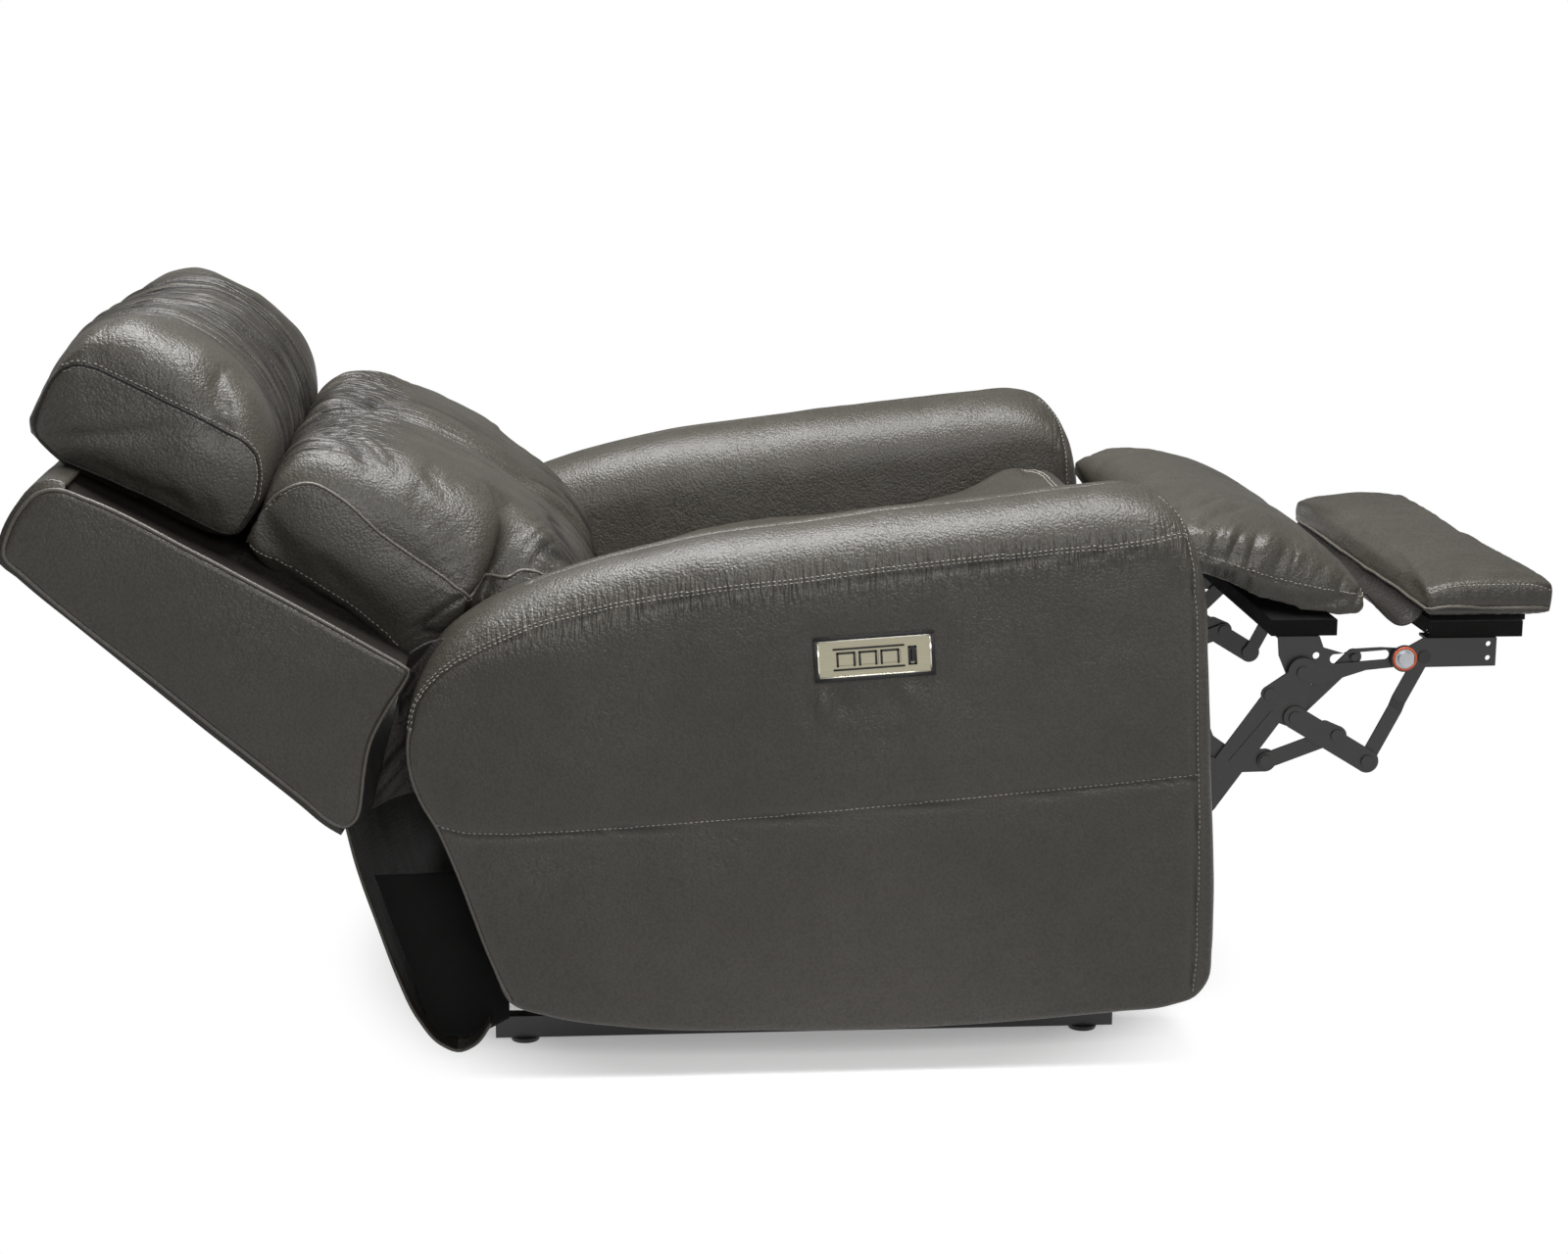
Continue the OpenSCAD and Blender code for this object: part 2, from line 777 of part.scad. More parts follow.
module headrest_arms() {
  color(black_steel) on_back() both_sides() upright_plate(head_arm_w, side_plate_t) difference() {
    union() {
      bar([-head_pivot_s, head_pivot_n], [-head_pivot_s, post_n0 + 6], head_rod_r + 3);
      translate([-head_pivot_s - 7, post_n0]) square([60, 12]);
    }
    hole([-head_pivot_s, head_pivot_n], head_rod_r + fit);
  }
}

module headrest_strap(grow) {
  bar([-head_pivot_s, head_pivot_n], [-head_pivot_s - 150, head_pivot_n - 20], head_rod_r + 3 + grow);
}

module headrest_bracket() {
  color(black_steel) on_back() {
    both_sides() upright_plate(head_arm_w + side_plate_t + 1, side_plate_t) headrest_strap(0);
    translate([-head_pivot_s, -head_arm_w - 2 * side_plate_t - 6, head_pivot_n]) rotate([-90, 0, 0])
      cylinder(r = head_rod_r, h = 2 * (head_arm_w + 2 * side_plate_t + 6));
  }
}

head_s0 = head_pivot_s + head_rod_r + 5;

module headrest_cushion() {
  tops = [
    [-head_s0 - head_l, 48], [-head_s0 - head_l + 30, 84], [-head_s0 - head_l + 110, 104],
    [-head_s0 - 50, 96], [-head_s0, 76]
  ];
  color(leather) on_back() difference() {
    cushion(head_hw, -head_s0 - head_l, -head_s0, -57, tops, 40, 8, 0, 20, 28);
    both_sides() upright_plate(head_arm_w + side_plate_t + 0.7, side_plate_t + 0.6)
      headrest_strap(0.3);
  }
}

// Leather flap that hangs from the shell to the rear of the arms, drawn as a folded band
flap_path = [
  [-514, 268.3], [-507, 225], [-488, 164], [-466, 100], [-446, 56], [-424, 28], [-405, 20],
  [-388, 27], [-372, 48]
];
flap_t = 4;

module rear_flap() {
  n = len(flap_path);
  outer = [for (i = [0:n - 1])
    let (a = flap_path[max(i - 1, 0)], b = flap_path[min(i + 1, n - 1)], t = (b - a) / norm(b - a))
    flap_path[i] + flap_t / 2 * [t[1], -t[0]]];
  inner = [for (i = [n - 1:-1:0])
    let (a = flap_path[max(i - 1, 0)], b = flap_path[min(i + 1, n - 1)], t = (b - a) / norm(b - a))
    flap_path[i] - flap_t / 2 * [t[1], -t[0]]];
  color(leather) place() upright_plate(-shell_hw + 6, 2 * (shell_hw - 6))
    polygon(concat(outer, inner));
}

// Footrest linkage, from the torque tube outwards
module torque_tube() {
  color(black_steel) place() {
    pin(drive_pivot, tube_r, -layer(2) + 0.2, layer(2) - 0.2);
    both_sides() pin(drive_pivot, tube_r - 2, layer(2) - 0.2, side_w + side_plate_t + 1.5);
  }
}

module drive_link(left) {
  color(black_steel) place() on_side(left) {
    upright_plate(layer(2), plate_t) difference() {
      union() {
        bar(drive_pivot, knee_pivot, drive_hw);
        bar(knee_pivot, guide_pivot, drive_hw - 1);
        polygon([
          knee_pivot, part_way(knee_pivot, drive_pivot, 0.32), part_way(knee_pivot, guide_pivot, 0.7)
        ]);
      }
      hole(drive_pivot, tube_r - 2 + fit);
      hole(knee_pivot, rivet_r + fit);
      hole(guide_pivot, rivet_r + fit);
    }
    rivet(guide_pivot, 2, 3);
  }
}

module drive_link_left() {
  drive_link(true);
}

module drive_link_right() {
  drive_link(false);
}

knee_tail = [418, 243];
knee_rise = [491, 346];
knee_bump = [489, 362];

module knee_plate(left) {
  color(black_steel) place() on_side(left) {
    upright_plate(layer(3), plate_t) difference() {
      union() {
        bar(knee_tail, knee_rise, knee_hw);
        bar(knee_bump, mid_pivot, 10);
        bar(lower_pivot, knee_rise, 12.5);
        bar(lower_pivot, mid_pivot, 12);
        translate(mid_pivot) circle(16.5);
        polygon([knee_bump, mid_pivot, lower_pivot, knee_rise]);
      }
      hole(knee_pivot, rivet_r + fit);
      hole(mid_pivot, rivet_r + fit);
      hole(lower_pivot, rivet_r + fit);
      hole(knee_bump, 3 + fit);
    }
    upright_plate(layer(3) + plate_t, 1) bar(knee_pivot + [24, 2], [492, 340], 3);
  }
}

module knee_plate_left() {
  knee_plate(true);
}

module knee_plate_right() {
  knee_plate(false);
}

module knee_rivets() {
  color(bright_steel) place() both_sides() {
    rivet(knee_pivot, 2, 3);
    rivet(mid_pivot, 1, 3);
    rivet(lower_pivot, 0, 4);
    pin(mid_pivot, 9, layer(1) + plate_t + 0.1, layer(3) - 0.1);
    pin(lower_pivot, 7, layer(0) + plate_t + 0.1, layer(3) - 0.1);
    rivet(knee_bump, 3, 3, 3);
  }
}

module lower_link(left) {
  color(black_steel) place() on_side(left) upright_plate(layer(4), plate_t) difference() {
    union() {
      bar(lower_pivot, joggle_pivot, lower_hw);
      bar(part_way(lower_pivot, short_pivot, 0.7), short_pivot, lower_hw - 2);
    }
    hole(lower_pivot, rivet_r + fit);
    hole(short_pivot, rivet_r + fit);
    hole(joggle_pivot, rivet_r + open_fit);
  }
}

module lower_link_left() {
  lower_link(true);
}

module lower_link_right() {
  lower_link(false);
}

// Rivets carried by the lower links, which hold the short links
module lower_rivets() {
  color(bright_steel) place() both_sides() rivet(short_pivot, 3, 4);
}

mid_outline = [
  [497, 426], [544, 426], [549, 413], [572, 406], [582, 411], [614, 412.5], [641, 411],
  [640, 391], [598, 387], [566, 377], [546, 371], [512, 374], [499, 404]
];

module mid_bracket(left) {
  slot_end = slot_pin + [34, 2.6];
  slot_start = slot_pin - [22, 1.5];
  color(black_steel) place() on_side(left) {
    upright_plate(layer(1), plate_t) difference() {
      union() {
        polygon(mid_outline);
        translate(mid_pivot) circle(16);
        translate(foot_pivot) circle(10);
      }
      bar(slot_start, slot_end, slot_hw);
      hole(mid_pivot, rivet_r + fit);
      hole(foot_pivot, 5 + fit);
      hole([541, 404], 4);
    }
    upright_plate(layer(1) - 24, 24 + plate_t) translate([498, 423]) square([45, 3]);
  }
}

module mid_bracket_left() {
  mid_bracket(true);
}

module mid_bracket_right() {
  mid_bracket(false);
}

// Links whose pins slide in the slots of the mid brackets
module slot_links() {
  color(black_steel) place() both_sides() {
    upright_plate(layer(0), plate_t) difference() {
      bar(lower_pivot, slot_pin, 9);
      hole(lower_pivot, rivet_r + fit);
    }
    pin(slot_pin, rivet_r, layer(0) + plate_t, layer(1) + plate_t + 1);
  }
}

// Foot brackets: a bar beside the joggled link, and a flange under the foot board
foot_bar_end = foot_pivot + [foot_bar_l, 3];

module foot_bracket(left) {
  flange_z = foot_pivot[1] + 20;
  color(black_steel) place() on_side(left) {
    upright_plate(layer(3), plate_t) difference() {
      union() {
        translate(foot_pivot) circle(15);
        polygon([
          foot_pivot + [0, -10], [foot_bar_end[0], foot_bar_end[1] - 12],
          [foot_bar_end[0], flange_z + 3], [foot_pivot[0] + 20, flange_z + 3],
          foot_pivot + [4, 14]
        ]);
      }
      hole(foot_pivot, 5 + fit);
      hole(lift_pivot, rivet_r + fit);
      for (z = [-3, 13]) hole(foot_bar_end + [-9, z], 3);
    }
    upright_plate(layer(3) - 28, 28 + plate_t)
      translate([foot_pivot[0] + 24, flange_z]) square([foot_bar_l - 24, 3]);
  }
}

module foot_bracket_left() {
  foot_bracket(true);
}

module foot_bracket_right() {
  foot_bracket(false);
}

// Bolts that carry the foot brackets, and the rivets of the joggled links
module foot_bolts() {
  color(bright_steel) place() both_sides() {
    pin(foot_pivot, 5, layer(1) - 0.2, layer(3) + plate_t + 1.2);
    pin(foot_pivot, 11, layer(3) + plate_t + 0.1, layer(3) + plate_t + 1.2);
    pin(foot_pivot, 8, layer(3) + plate_t + 1.2, layer(3) + plate_t + 5.5);
    pin(foot_pivot, 7.5, layer(1) - 4, layer(1) - 0.2);
    rivet(lift_pivot, 2, 3);
  }
}

module short_links() {
  color(black_steel) place() both_sides() upright_plate(layer(3), plate_t) difference() {
    bar(guide_pivot, short_pivot, 9);
    hole(guide_pivot, rivet_r + fit);
    hole(short_pivot, rivet_r + open_fit);
  }
}

// The joggled link steps in by one layer between its two ends
module joggled_link(left) {
  run = norm(lift_pivot - joggle_pivot);
  turn = direction(joggle_pivot, lift_pivot);
  bend = run * 0.5;
  color(black_steel) place() on_side(left) {
    intersection() {
      upright_plate(layer(2) - 1, 2 * plate_pitch + plate_t) difference() {
        union() {
          bar(joggle_pivot, lift_pivot, 8.4);
          translate(joggle_pivot) circle(10);
          translate(lift_pivot) circle(10);
        }
        hole(lift_pivot, rivet_r + fit);
      }
      translate([joggle_pivot[0], 0, joggle_pivot[1]]) rotate([0, -turn, 0])
        translate([0, 0, -20]) linear_extrude(40) polygon([
          [-20, -layer(3)], [bend, -layer(3)], [bend + 10, -layer(2)], [run + 20, -layer(2)],
          [run + 20, -layer(2) - plate_t], [bend + 10, -layer(2) - plate_t],
          [bend, -layer(3) - plate_t], [-20, -layer(3) - plate_t]
        ]);
    }
    pin(joggle_pivot, rivet_r, layer(3) + plate_t, layer(4) + plate_t + 0.3);
    pin(joggle_pivot, head_r, layer(4) + plate_t + 0.3, layer(4) + plate_t + 0.3 + head_h);
  }
}

module joggled_link_left() {
  joggled_link(true);
}

module joggled_link_right() {
  joggled_link(false);
}

// Boards and pads of the footrest
module calf_board() {
  color(plastic) place() translate([490, -layer(1), 426.1]) cube([74, 2 * layer(1), board_t]);
}

module calf_hinge() {
  color(black_steel) place() {
    translate([calf_pivot[0], -200, calf_pivot[1]]) rotate([-90, 0, 0]) cylinder(r = 4, h = 400);
  }
  color(black_steel) on_unit() {
    q = level(calf_pivot);
    for (y = [-190, 0, 190]) translate([box_front_x, y - 15, 0]) rotate([90, 0, 0]) mirror([0, 0, 1])
      linear_extrude(30) polygon([
        [0, rail_top_h - 26], [14, rail_top_h - 26], [q[0] - box_front_x + 3, q[1] - 3],
        [q[0] - box_front_x - 3, q[1] + 3], [22, rail_top_h + 4], [22, rail_top_h - 4], [0, rail_top_h - 4]
      ]);
  }
}

module calf_pad() {
  tops = [
    [-24, calf_crown - 24], [10, calf_crown - 3], [50, calf_crown + 4], [100, calf_crown + 4],
    [170, calf_crown - 10], [calf_l, calf_crown - 34]
  ];
  color(leather) on_calf() cushion(calf_hw, -24, calf_l, 4.8, tops, 34, 6, 0, 16, 26);
}

foot_x0 = foot_pivot[0] + 15;

module foot_board() {
  color(plastic) place() translate([foot_pivot[0] + 30, -layer(3) + 1, foot_pivot[1] + 23.1])
    cube([foot_bar_l, 2 * layer(3) - 2, board_t]);
}

module foot_pad() {
  low = foot_pivot[1] + 23.1 + board_t + 0.3;
  tops = [
    [foot_x0, low + foot_crown - 12], [foot_x0 + 40, low + foot_crown],
    [foot_x0 + 100, low + foot_crown], [foot_x0 + foot_l, low + foot_crown - 8]
  ];
  color(leather) place()
    cushion(foot_hw, foot_x0, foot_x0 + foot_l, low, tops, 12, 5, 0, 14, 26);
}

floor_rail_left();
floor_rail_right();
base_cross_rear();
base_cross_front();
floor_glides();
swing_pins();
rear_swing_links();
front_swing_links();
side_plate_left();
side_plate_right();
seat_bolts();
seat_box();
seat_deck();
seat_springs();
arm_frame_left();
arm_frame_right();
arm_cover_left();
arm_cover_right();
seat_cushion();
control_plate();
usb_socket();
button_recline();
button_home();
button_head();
drive_motor();
drive_rail();
drive_nut();
hinge_plate_left();
hinge_plate_right();
back_frame();
back_shell();
back_cushion();
headrest_arms();
headrest_bracket();
headrest_cushion();
rear_flap();
torque_tube();
drive_link_left();
drive_link_right();
knee_plate_left();
knee_plate_right();
lower_link_left();
lower_link_right();
mid_bracket_left();
mid_bracket_right();
slot_links();
foot_bracket_left();
foot_bracket_right();
short_links();
joggled_link_left();
joggled_link_right();
knee_rivets();
lower_rivets();
foot_bolts();
calf_board();
calf_pad();
calf_hinge();
foot_board();
foot_pad();
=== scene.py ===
# %% [markdown]
# # A wall hugger recliner, dressed in leather
# The frame of the chair comes ready made: boards, steel plates, rivets and motor stand where
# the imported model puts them. This lesson lays the leather, the stuffing, the seams and the
# small trim over that frame, one piece at a time, and gives every part a worked-out finish.

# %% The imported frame
import math

import bpy
import numpy as np
from mathutils import Matrix, Vector
from mathutils.bvhtree import BVHTree


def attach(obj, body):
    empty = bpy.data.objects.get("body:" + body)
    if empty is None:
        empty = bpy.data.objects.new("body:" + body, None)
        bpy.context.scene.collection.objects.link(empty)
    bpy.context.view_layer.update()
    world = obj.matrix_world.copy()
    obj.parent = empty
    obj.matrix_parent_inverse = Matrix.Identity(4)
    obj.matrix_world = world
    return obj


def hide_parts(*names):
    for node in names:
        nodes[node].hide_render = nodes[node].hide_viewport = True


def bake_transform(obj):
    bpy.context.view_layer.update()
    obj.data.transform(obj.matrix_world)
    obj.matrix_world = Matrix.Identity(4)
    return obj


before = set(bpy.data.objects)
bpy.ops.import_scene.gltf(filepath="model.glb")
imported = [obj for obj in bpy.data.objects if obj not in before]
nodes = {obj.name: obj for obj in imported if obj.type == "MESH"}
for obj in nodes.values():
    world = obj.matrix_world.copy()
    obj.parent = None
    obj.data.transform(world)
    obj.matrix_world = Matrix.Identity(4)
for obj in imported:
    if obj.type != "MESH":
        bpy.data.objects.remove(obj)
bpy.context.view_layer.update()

# %% [markdown]
# ## Three sets of axes
# The seat unit is drawn level and then pitched nose-up by 3.6 degrees, the back lies on its
# own slope, and so does the calf pad. Working in millimetres in each unit's own axes keeps
# the numbers plain. One set of axes per unit turns them into the shared frame and back.

# %% Unit axes
MM = 0.001
SHIFT = 26.4


def as_points(p):
    """Lists of numbers as one array."""
    return np.asarray(p, float)


def on_row(p):
    """Drawing axes moved ahead by the frame's shift."""
    return as_points(p) + [SHIFT, 0, 0]


class Axes:
    """A unit's own axes: an origin in x and z, a turn in degrees from x towards z, and a way
    of -1 where the unit counts against the drawn x."""

    def __init__(self, x0, z0, degrees, way=1):
        self.x0, self.z0, self.way = x0, z0, way
        self.c, self.s = math.cos(math.radians(degrees)), math.sin(math.radians(degrees))

    def __call__(self, p):
        """Into the shared frame: x0 + x cos - z sin and z0 + x sin + z cos, then ahead."""
        x, y, z = np.moveaxis(as_points(p), -1, 0)
        x = x * self.way
        return on_row(np.stack([self.x0 + x * self.c - z * self.s, y,
                                self.z0 + x * self.s + z * self.c], -1))

    def own(self, p):
        """Out of the shared frame: the same turn undone."""
        x, y, z = np.moveaxis(as_points(p) - [SHIFT + self.x0, 0, self.z0], -1, 0)
        return np.stack([(x * self.c + z * self.s) * self.way, y, z * self.c - x * self.s], -1)


on_unit = Axes(0, 0, 3.6)  # the seat, level
on_back = Axes(-305, 425, -29, -1)  # s up along the back, y across, n towards the sitter
back_axes = Axes(-305, 425, -29)  # the same with x down the back, as its cushions are drawn
on_calf = Axes(376, 512, -15.5)  # x down the slope from the hinge, z out of the pad
print("back pivot in metres:", (on_back([0, 0, 0]) * MM).round(3))

# %% [markdown]
# ## Curves and grids
# A seam or an outline is a smooth curve through a few known points. A surface is a grid of
# points, or several grids, handed to the mesh in one go. Both are whole-array numpy, so no
# loop walks over vertices.


# %% Curve helper
def smooth_path(points, step, dims=3, closed=False):
    """Even walk along a curve through all the points. Between two points it is the cubic
    whose end slopes mix the slopes of the neighbouring chords. Columns past dims ride along."""
    p = as_points(points)
    n = len(p)
    if closed:
        p = np.vstack([p[-2:], p, p[:3]])
    gap = np.maximum(np.linalg.norm(np.diff(p[:, :dims], axis=0), axis=1), 1e-6)
    t = np.concatenate([[0], np.cumsum(gap)])
    d = np.diff(p, axis=0) / gap[:, None]
    m = np.vstack([d[:1], (d[:-1] * gap[1:, None] + d[1:] * gap[:-1, None])
                   / (gap[:-1] + gap[1:])[:, None], d[-1:]])
    t0, t1 = (t[2], t[2 + n]) if closed else (0, t[-1])
    u = np.linspace(t0, t1, int(max(60, 4 * (t1 - t0) / step)))
    i = np.clip(np.searchsorted(t, u, "right") - 1, 0, len(gap) - 1)
    h = ((u - t[i]) / gap[i])[:, None]
    g = gap[i][:, None]
    q = ((2 * h**3 - 3 * h**2 + 1) * p[i] + (h**3 - 2 * h**2 + h) * g * m[i]
         + (3 * h**2 - 2 * h**3) * p[i + 1] + (h**3 - h**2) * g * m[i + 1])
    run = np.concatenate([[0], np.cumsum(np.linalg.norm(np.diff(q[:, :dims], axis=0), axis=1))])
    count = int(max(4, round(run[-1] / step)))
    at = np.linspace(0, run[-1], count + 1)[:-1] if closed else np.linspace(0, run[-1], count + 1)
    return np.stack([np.interp(at, run, q[:, k]) for k in range(q.shape[1])], -1)


print("a quarter turn in", len(smooth_path([[0, 0], [30, 70], [100, 100]], 5, 2)), "steps")


# %% Mesh helpers
def grid_faces(nu, nv, close_u=False, close_v=False):
    """Quads between neighbouring rows and columns of a grid of nu by nv points."""
    i, j = np.meshgrid(np.arange(nu if close_u else nu - 1), np.arange(nv if close_v else nv - 1),
                       indexing="ij")
    i2, j2 = (i + 1) % nu, (j + 1) % nv
    return np.stack([i * nv + j, i * nv + j2, i2 * nv + j2, i2 * nv + j], -1).reshape(-1, 4)


def put_mesh(name, parts, weld=0.02, outward=True):
    """One object from parts, each a pair of points in millimetres and quads. Points closer
    than weld are joined, and the faces are turned outwards."""
    points, faces, base = [], [], 0
    for p, f in parts:
        p = as_points(p).reshape(-1, 3)
        points.append(p)
        faces.append(np.asarray(f) + base)
        base += len(p)
    mesh = bpy.data.meshes.new(name)
    mesh.from_pydata((np.vstack(points) * MM).tolist(), [], np.vstack(faces).tolist())
    obj = bpy.data.objects.new(name, mesh)
    bpy.context.scene.collection.objects.link(obj)
    clean(obj, weld, outward)
    return obj


def clean(obj, weld=0.02, outward=True):
    """Joins doubled points, drops faces without area, turns the faces outwards, shades smooth."""
    import bmesh
    bm = bmesh.new()
    bm.from_mesh(obj.data)
    if weld:
        bmesh.ops.remove_doubles(bm, verts=bm.verts, dist=weld * MM)
        bmesh.ops.dissolve_degenerate(bm, edges=bm.edges, dist=weld * MM)
    if outward:
        bmesh.ops.recalc_face_normals(bm, faces=bm.faces)
    bm.to_mesh(obj.data)
    bm.free()
    obj.data.polygons.foreach_set("use_smooth", np.ones(len(obj.data.polygons), bool))
    obj.data.update()


def skin_part(rings, place=as_points):
    """Closed skin over rings of points: quads along it, and a fan of quads shut to a point
    in the middle of each end. The place turns the unit's axes into the shared frame."""
    rings = as_points(rings)
    first = np.repeat(rings[:1].mean(1, keepdims=True), rings.shape[1], 1)
    last = np.repeat(rings[-1:].mean(1, keepdims=True), rings.shape[1], 1)
    grid = np.concatenate([first, rings, last])
    return place(grid), grid_faces(*grid.shape[:2], close_v=True)


def bake_modifiers(obj):
    """The object's modifiers, made part of its mesh."""
    deps = bpy.context.evaluated_depsgraph_get()
    mesh = bpy.data.meshes.new_from_object(obj.evaluated_get(deps))
    obj.modifiers.clear()
    obj.data = mesh
    clean(obj, 0)


def points_of(obj):
    """The mesh's points in millimetres."""
    co = np.empty(len(obj.data.vertices) * 3)
    obj.data.vertices.foreach_get("co", co)
    return co.reshape(-1, 3) / MM


def normals_of(obj):
    """One outward unit vector per point."""
    out = np.empty(len(obj.data.vertices) * 3)
    obj.data.vertex_normals.foreach_get("vector", out)
    return out.reshape(-1, 3)


def set_points(obj, p):
    obj.data.vertices.foreach_set("co", (p * MM).ravel())
    obj.data.update()


def swell(obj, amount):
    """Moves each point along its normal by its own amount."""
    set_points(obj, points_of(obj) + normals_of(obj) * np.asarray(amount)[:, None])


print("helpers ready")


# %% [markdown]
# ## Random fields that are the same each time
# Leather has soft hollows and gathers. They come from value noise: fixed numbers on the
# corners of a lattice, blended smoothly in between. The numbers come from a sine, so every
# run gives the same chair.


# %% Noise
def noise(p, size, seed=0):
    """Lattice values from a sine's fraction, blended by 3f2-2f3 along the three axes."""
    q = as_points(p) / size
    i = np.floor(q)
    f = q - i
    w = f * f * (3 - 2 * f)
    total = 0
    for dx in (0, 1):
        for dy in (0, 1):
            for dz in (0, 1):
                key = np.sin((i[..., 0] + dx) * 127.1 + (i[..., 1] + dy) * 311.7
                             + (i[..., 2] + dz) * 74.7 + seed * 53.3) * 43758.5453
                value = (key - np.floor(key)) * 2 - 1
                part = ((w[..., 0] if dx else 1 - w[..., 0]) * (w[..., 1] if dy else 1 - w[..., 1])
                        * (w[..., 2] if dz else 1 - w[..., 2]))
                total = total + value * part
    return total


def gathers(across, along, pitch, run, seed):
    """Rounded folds with sharp valleys: the size of a noise that is short across the folds
    and long along them, in two sizes."""
    z = np.zeros_like(across)
    one = np.abs(noise(np.stack([across / pitch, along / run, z], -1), 1.0, seed))
    two = np.abs(noise(np.stack([across / pitch * 2.1, along / run * 1.3, z], -1), 1.0, seed + 7))
    return one**0.6 + 0.4 * two**0.6 - 0.62


def fold_sum(parts):
    """Adds up folds given as (height, gathers, mask). The second result marks the valleys
    for painted shade: 1 where the gathers sink below their middle, under the mask."""
    height, dark = 0, 0
    for size, g, mask in parts:
        height = height + size * g * mask
        dark = np.maximum(dark, ease(-g, 0.02, 0.32) * mask)
    return height, dark


def ease(v, a, b):
    """0 below a, 1 above b, smooth between them."""
    t = np.clip((v - a) / (b - a), 0, 1)
    return t * t * (3 - 2 * t)


def bell(v, width):
    """1 at 0, falling away on both sides as e to the power -(v / width) squared."""
    return np.exp(-(v / width) ** 2)


def path_distance(p, path):
    """Distance of each point from a chain of straight pieces: the least over the pieces of
    the distance to the nearest point of the piece."""
    best = np.full(len(p), 1e9)
    for a, b in zip(path[:-1], path[1:]):
        d = b - a
        t = np.clip(((p - a) @ d) / max(d @ d, 1e-9), 0, 1)
        best = np.minimum(best, np.linalg.norm(p - a - t[:, None] * d, axis=1))
    return best


print("noise sample:", noise(np.array([[1.0, 2.0, 3.0]]), 2.0).round(3))

# %% [markdown]
# ## Shader arithmetic
# A material is a formula over places on the surface. Wrapping a socket in a small class lets
# the formula be written as plain Python, and each + or * adds the Math node it stands for.


# %% Socket class
class Socket:
    """One output socket of a node tree, with arithmetic."""

    def __init__(self, tree, out):
        self.tree, self.out = tree, out

    def node(self, kind, settings=None, links=None, out=0):
        """Adds a node: its settings first, then the values or links of its sockets."""
        n = self.tree.nodes.new(kind)
        for key, value in (settings or {}).items():
            setattr(n, key, value)
        for key, value in (links or {}).items():
            if isinstance(value, Socket):
                self.tree.links.new(value.out, n.inputs[key])
            else:
                n.inputs[key].default_value = value
        return Socket(self.tree, n.outputs[out]) if len(n.outputs) else None

    def math(self, operation, other=None, flip=False):
        """This socket and another value, or the other first when flipped, in a Math node."""
        pair = (other, self) if flip else (self, other)
        links = {k: v for k, v in enumerate(pair) if v is not None}
        return self.node("ShaderNodeMath", {"operation": operation}, links)

    # each of these is the Math node of its name
    def __add__(self, other):
        return self.math("ADD", other)

    def __sub__(self, other):
        return self.math("SUBTRACT", other)

    def __mul__(self, other):
        return self.math("MULTIPLY", other)

    def __truediv__(self, other):
        return self.math("DIVIDE", other)

    def __rsub__(self, other):
        return self.math("SUBTRACT", other, flip=True)

    __radd__ = __add__
    __rmul__ = __mul__

    def clamp(self, low, high):
        """No less than low and no more than high."""
        return self.math("MAXIMUM", low).math("MINIMUM", high)

    def mix(self, first, second):
        """Colour between first and second, by this socket."""
        return self.node("ShaderNodeMix", {"data_type": "RGBA"}, {0: self, 6: first, 7: second}, 2)

    def cells(self, scale, feature="F1"):
        """Distance to the nearest of scattered points, at so many per metre, or to a border."""
        return self.node("ShaderNodeTexVoronoi", {"feature": feature},
                         {"Vector": self, "Scale": scale}, "Distance")

    def cloud(self, scale, detail=3.0, rough=0.5):
        """Soft noise, with so many waves to the metre."""
        return self.node("ShaderNodeTexNoise", {}, {"Vector": self, "Scale": scale,
                                                    "Detail": detail, "Roughness": rough})

    def stretch(self, scale):
        """These coordinates, multiplied along each axis."""
        return self.node("ShaderNodeMapping", {}, {"Vector": self, "Scale": scale})


def rgb(r, g, b):
    """An sRGB colour of 0 to 255 as the linear colour that shaders use."""
    c = np.array([r, g, b]) / 255
    c = np.where(c <= 0.04045, c / 12.92, ((c + 0.055) / 1.055) ** 2.4)
    return (*c.tolist(), 1.0)


def material(name, recipe, **fixed):
    """A Principled material. The recipe gets the Object coordinates and returns a colour, a
    roughness, a bump height in millimetres and sometimes a metallic value. Fixed values go on
    the shader's own sockets."""
    mat = bpy.data.materials.new(name)
    mat.use_nodes = True
    tree = mat.node_tree
    tree.nodes.clear()
    place = Socket(tree, tree.nodes.new("ShaderNodeTexCoord").outputs["Object"])
    colour, rough, height, *metal = recipe(place)
    bump = place.node("ShaderNodeBump", {}, {"Strength": 1.0, "Distance": 0.001, "Height": height})
    links = {"Base Color": colour, "Roughness": rough, "Normal": bump}
    links.update({"Metallic": metal[0]} if metal else {})
    links.update(fixed)
    shader = place.node("ShaderNodeBsdfPrincipled", {}, links)
    shader.node("ShaderNodeOutputMaterial", {}, {"Surface": shader})
    mat.diffuse_color = (0.2, 0.2, 0.2, 1)
    return mat


print("shader class ready")
